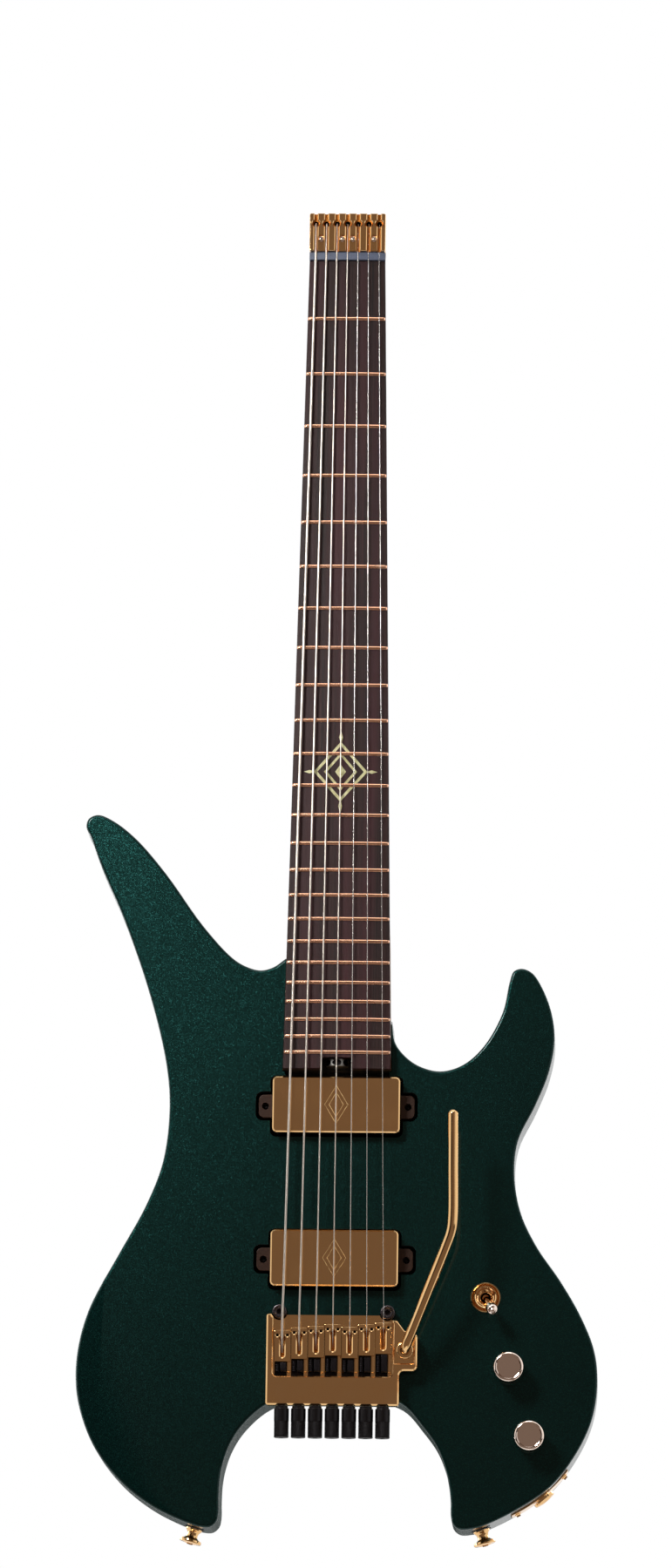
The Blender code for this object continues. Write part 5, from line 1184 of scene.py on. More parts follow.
def make_pickups():
    """Plated covers, each with two lozenges engraved in it, over their moulded bases."""
    hollow_width, hollow_length = PICKUP_WIDTH - 2 * PICKUP_WALL, PICKUP_LENGTH - 2 * PICKUP_WALL
    for name, z in (("neck", NECK_PICKUP_Z), ("bridge", BRIDGE_PICKUP_Z)):
        outline = rounded_rectangle(0, z, PICKUP_WIDTH, PICKUP_LENGTH, PICKUP_CORNER, 8)
        bm = plate(outline, -PICKUP_SKIRT_DEPTH, PICKUP_TOP)
        soften(bm, sharp_edges(bm, 60, PICKUP_TOP), 0.0008, 1)
        inside = rounded_rectangle(0, z, hollow_width, hollow_length, 0.0018)
        ceiling = PICKUP_TOP - PICKUP_WALL
        bm = carved(bm, [plate(inside, -PICKUP_SKIRT_DEPTH - GAP, ceiling)])
        for half_width, half_height in ((0.0074, 0.0122), (0.0046, 0.0080)):
            points = ((0, z - half_height), (half_width, z), (0, z + half_height), (-half_width, z))
            mark = frame_plate(points, 0.00035, PICKUP_TOP - 0.00015, PICKUP_TOP + 0.0002)
            bm = carved(bm, [mark], 1)
        fit(f"pickup_shell_{name}", bm, (COVER_GOLD, ENGRAVED_GOLD), "guitar",
            (f"pickup_cover_{name}",), 30)
        make_pickup_base(name, z)


def make_pickup_base(name, z):
    """The moulded base: it fills the cover, and its ears take the mounting screws."""
    core = rounded_rectangle(0, z, PICKUP_WIDTH - 0.0026, PICKUP_LENGTH - 0.0026, 0.0015)
    bm = plate(core, -PICKUP_CAVITY_DEPTH + GAP, PICKUP_TOP - PICKUP_WALL - 0.0007)
    ears = plate(rounded_rectangle(0, z, EAR_SPAN, EAR_LENGTH, 0.0034), -0.0063, -EAR_DROP)
    middle = PICKUP_WIDTH / 2 + GAP
    room = block(-middle, middle, -PICKUP_SKIRT_DEPTH - GAP, 0.001, z - 0.009, z + 0.009)
    soften(ears, sharp_edges(ears, 60, -EAR_DROP), 0.0005, 3)
    ears = carved(ears, [room])
    bm = carved(bm, [ears], 0, "UNION")
    places = [(side * (EAR_SPAN / 2 - 0.0042), z) for side in (-1, 1)]
    bores = [rod(0.0022, at(x, 0, z), INWARD, 0.0052, 28) for x, z in places]
    bm = carved(bm, bores)
    fit(f"pickup_mount_{name}", bm, BASE_PLASTIC, "guitar",
        (f"pickup_base_{name}",), 30)
    moves = [aimed(at(x, -0.0050, z), OUTWARD) for x, z in places]
    fit(f"pickup_screws_{name}", copies(cross_screw(0.0018, 0.0006), moves), BLACK_STEEL_AND_SHADE, "guitar")


# ---------------------------------------------------------------- tremolo

def make_base_plate():
    """The tremolo's base: side walls, the apron that carries the tuners, and the bracket for the arm."""
    left, right = -HALF_PLATE, HALF_PLATE
    reach, bracket_top = right + BRACKET_REACH, BRACKET_TOP_Z
    bracket_low = bracket_top - BRACKET_LENGTH
    corner, small, notch = BRACKET_CORNER, PLATE_CORNER, POST_RADIUS + POST_ROOM
    outline = [
        *arc(left + small, PLATE_END_Z + small, small, 180, 270),
        *arc(right - small, PLATE_END_Z + small, small, 270, 360),
        *arc(right + corner, bracket_low - corner, corner, 180, 90),
        *arc(reach - corner, bracket_low + corner, corner, 270, 360),
        *arc(reach - corner, bracket_top - corner, corner, 0, 90),
        (right + 0.0030, bracket_top + 0.0012), (right - 0.0016, PLATE_TOP_Z - 0.0038),
        (right - 0.0032, PLATE_TOP_Z - 0.0038),
        *arc(POST_X, POST_Z, notch, -62, -158, 16),
        *arc(-POST_X, POST_Z, notch, -22, -158, 16),
        *arc(left + small, PLATE_TOP_Z - small, small, 90, 180),
    ]
    bm = plate(outline, PLATE_BOTTOM, PLATE_RIM_TOP)
    soften(bm, sharp_edges(bm, 60, PLATE_RIM_TOP), 0.0009, 1)
    half, low, bend = HALF_PLATE - PLATE_WALL, PLATE_END_Z + APRON_LENGTH, BAY_CORNER
    bay = [*arc(-half + bend, low + bend, bend, 180, 270), *arc(half - bend, low + bend, bend, 270, 360),
           (half, PLATE_TOP_Z + 0.001), (-half, PLATE_TOP_Z + 0.001)]
    bm = carved(bm, [plate(bay, PLATE_TOP, PLATE_RIM_TOP + 0.0005)])
    bores = [rod(TUNER_BORE, tuner_place(index, PLATE_END_Z - GAP), UP, APRON_LENGTH + 2 * GAP, 24)
             for index in range(STRING_COUNT)]
    bm = carved(bm, bores)
    bm = carved(bm, [rod(ARM_BORE, at(ARM_X, PLATE_RIM_TOP + GAP, ARM_Z), INWARD, PLATE_RIM_TOP)])
    # A shallow recess lies round the arm's collar, inside a raised edge.
    step_z, inner = bracket_low + 0.0045, half + 0.0012
    recess = [
        (inner, step_z), (reach - 0.0021, step_z), (reach - 0.0021, bracket_top - 0.0034),
        (inner + 0.0030, PLATE_TOP_Z - 0.0048), (inner, PLATE_TOP_Z - 0.0048),
    ]
    bm = carved(bm, [plate(recess, PLATE_RIM_TOP - 0.0004, PLATE_RIM_TOP + GAP)])
    soften(bm, sharp_edges(bm, 60, PLATE_RIM_TOP), 0.0006, 1)
    fit("tremolo_base", bm, GOLD, "tremolo", ("trem_plate",), 28)


def tuner_place(index, z):
    return at(saddle_x(index), TUNER_HEIGHT, z)


def slot_outline(x, low, high, radius):
    """The outline of a round-ended slot that runs along the string."""
    return arc(x, low + radius, radius, 180, 360, 12) + arc(x, high - radius, radius, 0, 180, 12)


def make_saddles():
    """Saddles with a slot that the string dives into and two locking screws, each before its carriage."""
    half = SADDLE_PITCH / 2 - GAP / 2
    bottom = PLATE_TOP + GAP
    for index in range(STRING_COUNT):
        nose, rear, x = saddle_nose_z(index), saddle_rear_z(index), saddle_x(index)
        front, shoulder = nose + SADDLE_FRONT, nose - 0.0006
        crest = string_height(index, nose) - STRING_RADII[index] - GAP
        profile = (
            (rear, bottom), (front, bottom), (front, crest - 0.0012), (front - 0.0004, crest - 0.0003),
            (shoulder, crest), (rear, crest - SADDLE_FALL),
        )
        bm = side_plate(profile, x - half, x + half)
        soften(bm, sharp_edges(bm, 40), 0.0003, 2)
        low, high = rear + SLOT_FROM_REAR, nose - SLOT_FROM_NOSE
        # The slot's walls and floor take the orange milled gold: painted reflection.
        slot = plate(slot_outline(x, low, high, SLOT_RADIUS), bottom + SADDLE_FLOOR, crest + 0.002)
        bm = carved(bm, [slot], 1)
        # The slot's rim is chamfered along the sloping top.
        slope = SADDLE_FALL / (shoulder - rear)
        rings = []
        for rim, rise in ((0.00085, 0.0001), (0, -0.0004)):
            ring = slot_outline(x, low - rim, high + rim, SLOT_RADIUS + rim)
            rings.append([at(px, crest - (shoulder - pz) * slope + rise, pz) for px, pz in ring])
        bm = carved(bm, [loft(rings)])
        radius = STRING_RADII[index]
        bm = carved(bm, [rod(radius + 0.0003, at(x, crest + radius, nose - 0.0080), UP, 0.02, 16)])
        spots = [(x + side * SADDLE_SCREW_X, nose - SADDLE_SCREW_BACK) for side in (-1, 1)]
        seat = ((0, 0), (0.0017, 0), (0.0017, 0.0010), (0.0010, 0.0014), (0.0010, 0.0042), (0, 0.0042))
        bm = carved(bm, [turned(seat, at(sx, crest + 0.0010, sz), INWARD, 24) for sx, sz in spots])
        name = f"saddle_{index + 1}"
        fit(f"{name}_block", bm, (GOLD, MILLED_GOLD_WITH_PAINTED_REFLECTION), name, (name,), 25)
        moves = [aimed(at(sx, crest - 0.0026, sz), OUTWARD) for sx, sz in spots]
        fit(f"{name}_screws", copies(hex_screw(0.0009, 0.0008, 0.0005), moves), BLACK_STEEL_AND_SHADE, name)
        make_carriage(index, x, rear, bottom)
    # Thin black sheets on the bay's floor round each carriage: painted shade where the floor lies in shadow.
    low, high = PLATE_END_Z + APRON_LENGTH + 0.0002, BRIDGE_LINE_Z - 0.0200
    shade_sheets = [block(saddle_x(index) - 0.0050, saddle_x(index) + 0.0028, PLATE_TOP - 0.0002,
                    PLATE_TOP + 0.0002, low, high) for index in range(STRING_COUNT)]
    fit("bay_floor_painted_shade", joined(shade_sheets), BLACK_STEEL_AND_SHADE, "tremolo")


def make_carriage(index, x, rear, bottom):
    """Behind a saddle: the black carriage that its tuner pulls on, a threaded rod and a gold rail."""
    low = PLATE_END_Z + APRON_LENGTH + SLIDE_ROOM
    bar = side_plate((
        (low, bottom), (rear, bottom), (rear, bottom + 0.0030), (rear - 0.0010, bottom + 0.0036),
        (low + 0.0012, bottom + 0.0036), (low, bottom + 0.0026),
    ), x - 0.0012, x + 0.0026)
    tray = side_plate((
        (low, bottom), (rear, bottom), (rear, bottom + 0.0006), (low, bottom + 0.0006),
    ), x - 0.0049, x - 0.0012)
    rail = side_plate((
        (low, bottom), (rear, bottom), (rear, bottom + 0.0034), (low + 0.0010, bottom + 0.0034),
        (low, bottom + 0.0028),
    ), x + 0.0030, x + 0.0049)
    for shape in (bar, rail):
        soften(shape, sharp_edges(shape, 40), 0.0003, 2)
    pitch, root, crest = 0.0009, 0.0013, 0.0017
    rows = int((rear - low - 0.0004) / pitch)
    thread = [(0, 0)]
    for row in range(rows):
        start = row * pitch
        thread += [(root, start + 0.00012), (crest, start + 0.0004), (root, start + 0.00078)]
    thread.append((0, rows * pitch))
    worm = turned(thread, at(x - 0.0031, bottom + 0.0024, low + 0.0002), UP, 18)
    name = f"saddle_{index + 1}"
    fit(f"{name}_carriage", joined([bar, tray]), BLACK_STEEL_AND_SHADE, name)
    fit(f"{name}_rail", rail, GOLD, name)
    fit(f"{name}_worm", worm, BLACK_STEEL_AND_SHADE, name, (), 60)


def make_tuners():
    """Tuning knobs: a narrow neck, a smooth barrel and a diamond knurl over the lower half."""
    top, shoulder, radius = -0.0005, -0.0019, GRIP_RADIUS
    end = top - TUNER_LENGTH
    knurl_top, knurl_low, knurl_depth = end + 0.0098, end + 0.0009, 0.0002
    rows = 13
    profile = [
        (0, top), (0.0036, top), (0.0039, top - 0.0003), (0.0039, shoulder), (radius - 0.0005, shoulder),
        *arc(radius - 0.0005, shoulder - 0.0005, 0.0005, 90, 0, 3), (radius, knurl_top + 0.0004),
    ]
    profile += [(radius - knurl_depth, knurl_top + (knurl_low - knurl_top) * row / rows)
                for row in range(rows + 1)]
    profile += [
        (radius, knurl_low - 0.0002), (radius, end + 0.0004), (radius - 0.0004, end), (0.0016, end),
        (0.0014, end + 0.0005), (0, end + 0.0005),
    ]
    for index in range(STRING_COUNT):
        base = tuner_place(index, PLATE_END_Z)
        name = f"tuner_{index + 1}"
        bm = turned(profile, (0, 0, 0), UP, 44)
        teeth = []
        for face in bm.faces:
            inside = knurl_low - 1e-6 < face.calc_center_median().z < knurl_top + 1e-6
            if inside and abs(face.normal.z) < 0.1:
                teeth.append(face)
        bmesh.ops.poke(bm, faces=teeth, offset=knurl_depth)
        bmesh.ops.translate(bm, vec=base, verts=bm.verts)
        fit(f"{name}_grip", bm, BLACK_ANODISED_AND_SHADE, name, (name,), 25)
        # The shaft ends inside the apron, clear of the carriage at the end of its slide.
        shaft = turned((
            (0, top + 0.0180), (0.0018, top + 0.0180), (0.0020, top + 0.0175), (0.0020, top), (0, top),
        ), base, UP, 24)
        fit(f"{name}_shaft", shaft, BLACK_STEEL_AND_SHADE, name)


def make_springs():
    """Coil springs from the sustain block to the claw; the real ones stretch and close as the tremolo turns.
    """
    wire, turns, steps = 0.00055, 52, 14
    total = turns * steps
    for index in range(3):
        name = f"trem_spring_{index + 1}"
        low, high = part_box(name)
        middle, radius = (low + high) / 2, (high.x - low.x) / 2 - wire
        rise = high.z - low.z - 2 * wire
        points = []
        for step in range(total + 1):
            angle = math.tau * step / steps
            points.append(Vector((
                middle.x + radius * math.cos(angle), middle.y + radius * math.sin(angle),
                low.z + wire + rise * step / total,
            )))
        bm = round_bar(points, [wire] * len(points), 1)
        piece = fit(f"{name}_coil", bm, STEEL, None, (name,), 60)
        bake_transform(piece)


def make_posts():
    """Pivot posts with a groove that the plate's edge rests in, and a hexagon socket on top."""
    profile = [
        (0, -0.020), (POST_RADIUS, -0.020), (POST_RADIUS, 0.0040), (POST_RADIUS - 0.0006, 0.0046),
        (POST_RADIUS - 0.0006, 0.0054), (POST_RADIUS, 0.0060),
        *arc(POST_RADIUS - 0.0007, POST_TOP - 0.0007, 0.0007, 0, 90, 4), (0.0031, POST_TOP),
        (0.0027, POST_TOP - 0.0005), (0.0024, POST_TOP - 0.0007), (0, POST_TOP - 0.0007),
    ]
    for name, side in (("bass", -1), ("treble", 1)):
        base = at(side * POST_X, 0, POST_Z)
        bm = turned(profile, base, OUTWARD, 48)
        key = bmesh.new()
        bmesh.ops.create_cone(key, cap_ends=True, segments=6, radius1=0.0018, radius2=0.0018, depth=0.006)
        bmesh.ops.transform(key, matrix=aimed(at(side * POST_X, POST_TOP, POST_Z), OUTWARD), verts=key.verts)
        # The socket's walls take the darker anodised black: painted shade.
        bm = carved(bm, [key], 1)
        fit(f"post_{name}", bm, (BLACK_NICKEL, BLACK_ANODISED_AND_SHADE), "guitar",
            (f"pivot_post_{name}",), 30)


ARM_PATH = (
    (0.0000, 0.0045, 0.0000), (0.0012, 0.0080, 0.0030), (0.0060, 0.0130, 0.0145), (0.0160, 0.0210, 0.0390),
    (0.0245, 0.0266, 0.0600), (0.0282, 0.0287, 0.0705), (0.0292, 0.0297, 0.0790), (0.0291, 0.0310, 0.1100),
    (0.0289, 0.0320, 0.1430),
)


def make_arm():
    """A bent bar that ends in a dome, and the grooved collar that it turns in."""
    foot = at(ARM_X, PLATE_RIM_TOP, ARM_Z)
    path = smooth_path([foot + Vector((x, -rise, z)) for x, rise, z in ARM_PATH], 7)
    direction = (path[-1] - path[-2]).normalized()
    points = [at(ARM_X, PLATE_RIM_TOP - 0.009, ARM_Z), at(ARM_X, PLATE_RIM_TOP + 0.0032, ARM_Z)]
    radii = [ARM_FOOT_RADIUS] * 2 + [ARM_RADIUS] * len(path)
    points += path
    for degrees in (25, 45, 62, 76, 86):
        angle = math.radians(degrees)
        points.append(path[-1] + direction * ARM_END_LENGTH * math.sin(angle))
        radii.append(ARM_RADIUS * math.cos(angle))
    bm = round_bar(points, radii, 8)
    fit("tremolo_arm_bar", bm, GOLD, "arm", ("trem_arm",), 60)
    profile = [(0.0030, GAP), (0.0053, GAP), (0.0053, 0.0012), (0.0050, 0.0015), (0.0053, 0.0018),
               *arc(0.0043, 0.0022, 0.0010, 0, 90, 5), (0.0030, 0.0032)]
    fit("arm_sleeve", turned(profile, foot, OUTWARD, 48), GOLD, "tremolo", ("arm_collar",))


# ---------------------------------------------------------------- controls

def make_switch():
    """The stepped ring nut and the bat lever, which rests leaning to one side."""
    base = at(SWITCH_X, 0, SWITCH_Z)
    profile = [
        (0.0030, -0.0055), (0.0064, -0.0055), (0.0064, GAP), (0.0092, GAP), (0.0092, 0.0006),
        (0.0089, 0.0010), (0.0084, 0.0011), (0.0082, 0.0008), (0.0080, 0.0011), (0.0078, 0.0016),
        (0.0076, 0.0012), (0.0074, 0.0016), (0.0071, 0.0022), (0.0066, 0.0023), (0.0060, 0.0019),
        (0.0056, 0.0010), (0.0052, -0.0002), (0.0040, -0.0010), (0.0032, -0.0020), (0.0030, -0.0032),
    ]
    bm = turned(profile, base, OUTWARD, 56)
    fit("switch_nut", bm, GOLD, "guitar", ("switch_ring",), 28)
    tilt, lean = math.radians(SWITCH_TILT), math.radians(SWITCH_LEAN)
    axis = OUTWARD * math.cos(tilt) + Vector((math.cos(lean), 0, math.sin(lean))) * math.sin(tilt)
    pivot = base - OUTWARD * SWITCH_PIVOT_DEPTH
    tip = 0.0250
    profile = [
        (0, -0.0024), *arc(0, 0, 0.0024, -70, 40, 8), (0.0016, 0.0022), (0.0016, 0.0150), (0.0019, 0.0158),
        (0.0021, tip - 0.0075), (0.0035, tip - 0.0050), *arc(0.0010, tip - 0.0002, 0.0025, 0, 72, 6),
        (0.0014, tip + 0.0026), (0.0013, tip + 0.0031), *arc(0.0004, tip + 0.0026, 0.0009, 30, 90, 3),
    ]
    profile[-1] = (0, profile[-1][1])
    bat = turned(profile, pivot, axis, 36)
    fit("switch_bat", bat, KNOB_GOLD, "switch_lever", ("switch_lever",), 28)


def make_knobs():
    """Turned and polished knobs: plain sides, a full round rim and a mirror-flat top set in a fine line."""
    low, top, radius, face = 0.0012, 0.0177, 0.00935, 0.0070
    profile = [
        (0, low + 0.011), (0.0033, low + 0.011), (0.0033, low), (radius - 0.0007, low),
        (radius - 0.0004, low + 0.0004), (radius - 0.0004, low + 0.0100), (radius, low + 0.0112),
        *arc(radius - 0.0018, top - 0.0018, 0.0018, 0, 82, 8), (face + 0.0003, top - 0.0002),
        (face + 0.0001, top - 0.0003), (face, top - 0.0001), (0, top - 0.0001),
    ]
    for name, x, z in KNOB_PLACES:
        bm = turned(profile, at(x, 0, z), OUTWARD, 72)
        fit(f"{name}_control", bm, KNOB_GOLD, f"{name}_knob", (f"{name}_knob",), 25)


# ---------------------------------------------------------------- edge and back

def jack_circle():
    """Centre and radius of the arc that the body's side follows at the jack, and its two end angles."""
    a, b, c = (Vector(point) for point in JACK_ARC)
    twice = 2 * ((b - a).x * (c - a).y - (b - a).y * (c - a).x)
    first, second = (b - a).length_squared, (c - a).length_squared
    offset = Vector(((c - a).y * first - (b - a).y * second,
                     (b - a).x * second - (c - a).x * first)) / twice
    centre = a + offset
    angles = [math.atan2((point - centre).y, (point - centre).x) for point in (a, c)]
    return centre, offset.length, angles


def jack_strip(inner, outer, end_margin, half_height):
    """A strip bent along the arc, between two radii."""
    centre, radius, (start, end) = jack_circle()
    start -= end_margin / radius
    end += end_margin / radius
    angles = [start + (end - start) * step / 24 for step in range(25)]
    rays = [Vector((math.cos(angle), math.sin(angle))) for angle in angles]
    outline = [tuple(centre + ray * outer) for ray in rays]
    outline += [tuple(centre + ray * inner) for ray in reversed(rays)]
    middle = -BODY_THICKNESS / 2
    return plate(outline, middle - half_height, middle + half_height)


def jack_axis(share=0.5):
    """A point on the plate's outer face, this share of the way along it, and its outward direction."""
    centre, radius, (start, end) = jack_circle()
    angle = start + (end - start) * share
    direction = Vector((math.cos(angle), 0, math.sin(angle)))
    middle = centre + Vector((math.cos(angle), math.sin(angle))) * (radius + JACK_PLATE_RISE)
    return at(middle.x, -BODY_THICKNESS / 2, middle.y), direction


def make_jack():
    radius = jack_circle()[1]
    bm = jack_strip(radius - JACK_PLATE_SINK, radius + JACK_PLATE_RISE, 0, JACK_PLATE_HALF_HEIGHT)
    soften(bm, sharp_edges(bm, 60), 0.0003, 2)
    face, outward = jack_axis()
    bm = carved(bm, [rod(0.0050, face + outward * 0.0024, -outward, 0.0054)])
    fit("jack_cover_plate", bm, GOLD, "guitar", ("jack_plate",), 28)
    foot, mouth = 0.0005, 0.0029
    profile = [
        (0, -0.027), (0.0047, -0.027), (0.0047, foot), (0.0072, foot), (0.0072, mouth - 0.0010),
        (0.0064, mouth - 0.0002), (0.0050, mouth - 0.0002), (0.0048, mouth), (0.0038, mouth),
        (0.0033, mouth - 0.0005), (0.0033, mouth - 0.022), (0, mouth - 0.022),
    ]
    fit("jack_socket", turned(profile, face, outward, 36), GOLD, "guitar", ("output_jack",), 28)
    moves = []
    for share in (0.09, 0.91):
        spot, direction = jack_axis(share)
        moves.append(aimed(spot + direction * 0.0001, direction))
    fit("jack_screws", copies(cross_screw(0.0022, 0.0010), moves), GOLD, "guitar")


def make_strap_buttons():
    """Turned buttons with a waist, a dished head and a screw, each on a felt washer."""
    head = 0.0076
    profile = [
        (0, -0.018), (0.0018, -0.018), (0.0018, 0.0005), (0.0051, 0.0005), (0.0051, 0.0013),
        (0.0048, 0.0017), (0.0040, 0.0025), (0.0035, 0.0036), (0.0034, 0.0048), (0.0037, 0.0060),
        (0.0050, 0.0070), (0.0066, head), *arc(0.0061, head + 0.0012, 0.0008, -30, 90, 6),
        (0.0040, 0.0099), (0.0034, 0.0094), (0, 0.0092),
    ]
    for name in ("strap_button_bass", "strap_button_treble", "strap_button_horn"):
        low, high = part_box(name)
        middle = (low + high) / 2
        if name.endswith("horn"):
            axis, seat = INWARD, Vector((middle.x, high.y - BUTTON_HEIGHT, middle.z))
        else:
            side = 1 if middle.x > 0 else -1
            axis = Vector((side * math.sin(BUTTON_LEAN), 0, -math.cos(BUTTON_LEAN)))
            nodes = [vert.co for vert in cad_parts[name].data.vertices]
            far = max(point.dot(axis) for point in nodes)
            line = sum(nodes, Vector()) / len(nodes)
            seat = line + axis * (far - line.dot(axis) - BUTTON_HEIGHT)
        fit(f"{name}_turned", turned(profile, seat, axis, 40), GOLD, "guitar", (name,), 28)
        washer = turned(((0.0020, 0.0001), (0.0062, 0.0001), (0.0064, 0.0003), (0.0062, 0.00045),
                         (0.0020, 0.00045)), seat, axis, 32)
        fit(f"{name}_washer", washer, FELT, "guitar")
        screw = copies(cross_screw(0.0031, 0.0008), [aimed(seat + axis * 0.0093, axis)])
        fit(f"{name}_screw", screw, GOLD, "guitar")


def make_back():
    """The covers in the back with their screws, and the four bolts of the neck in their ferrules."""
    low = -BODY_THICKNESS
    spots = {"trem_cover": [(x, z) for x in (-0.0385, 0.0385) for z in (0.1035, 0.176, 0.2485)],
             "control_cover": CONTROL_COVER_SCREWS}
    edge = COVER_LEDGE - GAP
    outlines = {"trem_cover": spring_cavity(edge), "control_cover": control_cavity(edge)}
    for name, outline in outlines.items():
        bm = plate(outline, low, low + COVER_THICKNESS)
        soften(bm, sharp_edges(bm, 60, low), 0.0004, 2)
        fit(f"{name}_moulded", bm, COVER_PLASTIC, "guitar", (name,), 25)
        moves = [aimed(at(x, low - 0.0001, z), INWARD) for x, z in spots[name]]
        screws = copies(cross_screw(0.0019, 0.0006), moves)
        fit(f"{name}_screws", screws, BLACK_STEEL_AND_SHADE, "guitar")
    moves = [aimed(at(x, low, z), INWARD) for x, z in NECK_BOLTS]
    ferrule = turned([(0.0042, -0.0004), (0.0072, -0.0004), (0.0072, 0.0003), (0.0068, 0.0006),
                      (0.0056, 0.0007), (0.0042, 0.0002)], (0, 0, 0), UP, 40)
    fit("neck_bolt_ferrules", copies(ferrule, moves), GOLD, "guitar", (), 28)
    fit("neck_bolts", copies(cross_screw(0.0040, 0.0008), moves), GOLD, "guitar")


# ---------------------------------------------------------------- stage

def stage_piece(name, bm, material):
    mesh = meshed(bm, name)
    mesh.materials.append(material)
    piece = placed(mesh, name)
    return piece


def seen_directly(tree):
    """1 for what the camera sees, straight on or in a reflection or through glass; 0 for its light."""
    ray = add(tree, "ShaderNodeLightPath", {})
    seen = add(tree, "ShaderNodeMath", {
        0: ray.outputs["Is Camera Ray"], 1: ray.outputs["Is Glossy Ray"],
    }, operation="ADD", use_clamp=True)
    seen = add(tree, "ShaderNodeMath", {
        0: seen.outputs[0], 1: ray.outputs["Is Transmission Ray"],
    }, operation="ADD", use_clamp=True)
    return seen.outputs[0]


def seen_in_polish(piece):
    """Leaves a piece of the stage to reflections only."""
    for way in ("camera", "diffuse", "transmission", "shadow", "volume_scatter"):
        setattr(piece, f"visible_{way}", False)


def glowing(name):
    """A material that only glows, to be told its colour."""
    made = bpy.data.materials.new(name)
    made.use_nodes = True
    tree = made.node_tree
    glow = add(tree, "ShaderNodeEmission", {"Strength": 1.0})
    tree.links.new(glow.outputs[0], tree.nodes["Material Output"].inputs["Surface"])
    return made, tree, glow.inputs["Color"]


def make_floor():
    """Plain and pale: nearly white to the camera and to polished metal, and it keeps the guitar's shadow."""
    floor = bmesh.new()
    bmesh.ops.create_circle(floor, cap_ends=True, segments=96, radius=FLOOR_RADIUS)
    bmesh.ops.translate(floor, vec=(0, 0, FLOOR_Z), verts=floor.verts)
    paint, tree, shader, _place = finish("pale_floor_paint", Base_Color=linear("#f4f4f2"), Roughness=0.9)
    lift = ranged(tree, seen_directly(tree), To_Max=FLOOR_LIFT)
    white = add(tree, "ShaderNodeEmission", {"Color": (1, 1, 1, 1), "Strength": 1.0})
    shown = add(tree, "ShaderNodeMixShader", {0: lift, 1: shader.outputs[0], 2: white.outputs[0]})
    tree.links.new(shown.outputs[0], tree.nodes["Material Output"].inputs["Surface"])
    stage_piece("studio_floor", floor, paint)


def make_screen():
    """Bends round the front and runs on along the floor; its tone changes from side to side."""
    screen = bmesh.new()
    low = FLOOR_Z + 0.01
    profile = ((SCREEN_FOOT, low), (SCREEN_RADIUS, low), (SCREEN_RADIUS, SCREEN_TOP))
    verts = [screen.verts.new((radius, 0, z)) for radius, z in profile]
    edges = [screen.edges.new(pair) for pair in zip(verts, verts[1:])]
    turn = Matrix.Rotation(math.radians(SCREEN_START), 3, "Z")
    bmesh.ops.rotate(screen, matrix=turn, verts=verts)
    bmesh.ops.spin(
        screen, geom=verts + edges, cent=(0, 0, 0), axis=(0, 0, 1), angle=math.radians(SCREEN_SWEEP),
        steps=48,
    )
    cloth, tree, colour = glowing("dim_screen_cloth")
    place = add(tree, "ShaderNodeTexCoord", {}).outputs["Object"]
    across = add(tree, "ShaderNodeSeparateXYZ", {"Vector": place}).outputs["X"]
    share = ranged(tree, across, From_Min=-SCREEN_RADIUS, From_Max=SCREEN_RADIUS)
    tones = add(tree, "ShaderNodeValToRGB", {"Fac": share})
    ramp = tones.color_ramp
    for index, (position, tone) in enumerate(SCREEN_TONES):
        step = ramp.elements[index] if index < 2 else ramp.elements.new(position)
        step.position = position
        step.color = linear(tone)
    tree.links.new(tones.outputs["Color"], colour)
    seen_in_polish(stage_piece("studio_screen", screen, cloth))


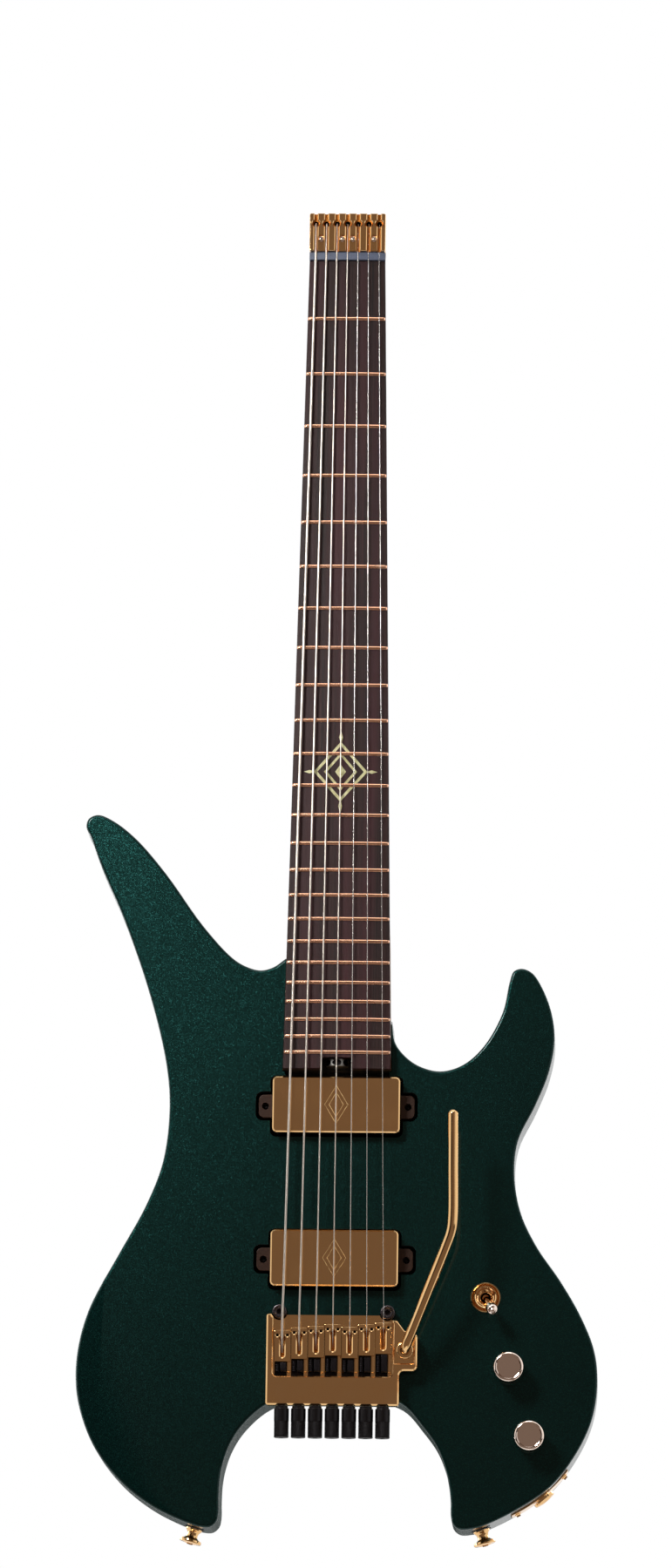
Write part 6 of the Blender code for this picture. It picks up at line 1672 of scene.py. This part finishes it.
def make_card():
    """Stands low behind the bass side, so that the body's walls there stay dark."""
    card = bmesh.new()
    bmesh.ops.create_grid(card, x_segments=4, y_segments=4, size=0.5)
    bmesh.ops.scale(card, vec=(CARD_WIDTH, CARD_HEIGHT, 1), verts=card.verts)
    bmesh.ops.rotate(card, matrix=Matrix.Rotation(math.radians(90), 3, "X"), verts=card.verts)
    bmesh.ops.translate(card, vec=CARD_CENTRE, verts=card.verts)
    board, _tree, colour = glowing("dark_card")
    colour.default_value = linear(CARD_TONE)
    seen_in_polish(stage_piece("studio_card", card, board))


def make_lights():
    """A white surround that lights only a little, and the soft lamps."""
    world = bpy.data.worlds.new("studio")
    bpy.context.scene.world = world
    world.use_nodes = True
    tree = world.node_tree
    sky = tree.nodes["Background"]
    sky.inputs["Color"].default_value = (1, 1, 1, 1)
    level = ranged(tree, seen_directly(tree), To_Min=FILL_LEVEL, To_Max=1.0)
    tree.links.new(level, sky.inputs["Strength"])
    for name, place, aim, width, length, spread, power in LAMPS:
        data = bpy.data.lights.new(name, "AREA")
        data.shape = "RECTANGLE"
        data.size, data.size_y = width, length
        data.energy = power
        data.spread = math.radians(spread)
        lamp = placed(data, name)
        lamp.location = place
        lamp.rotation_euler = (Vector(aim) - Vector(place)).to_track_quat("-Z", "Y").to_euler()
        lamp.visible_camera = False


def make_camera():
    """Stands low and to the right in front, and looks up at the guitar, as the photographer did."""
    data = bpy.data.cameras.new("camera")
    data.lens = CAMERA_LENS
    camera = placed(data, "camera")
    matrix = Matrix.Translation(CAMERA_PLACE)
    for degrees, axis in CAMERA_TURNS:
        matrix = matrix @ Matrix.Rotation(math.radians(degrees), 4, axis)
    camera.matrix_world = matrix
    bpy.context.scene.camera = camera


make_camera()
make_body()
make_neck()
make_fretboard()
make_frets()
make_inlay()
make_truss_wheel()
make_nut()
make_headpiece()
make_strings()
make_pickups()
make_base_plate()
make_saddles()
make_tuners()
make_springs()
make_posts()
make_arm()
make_switch()
make_knobs()
make_jack()
make_strap_buttons()
make_back()

CARRIED = {
    STEEL: ("truss_rod", "spring_claw", "claw_screw_bass", "claw_screw_treble", "volume_pot", "tone_pot"),
    BRASS: ("trem_block",),
    BASE_PLASTIC: ("switch_body",),
}
for metal, names in CARRIED.items():
    for name in names:
        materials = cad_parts[name].data.materials
        materials.clear()
        materials.append(metal)

make_floor()
make_screen()
make_card()
make_lights()
bpy.context.scene.view_settings.view_transform = "Standard"
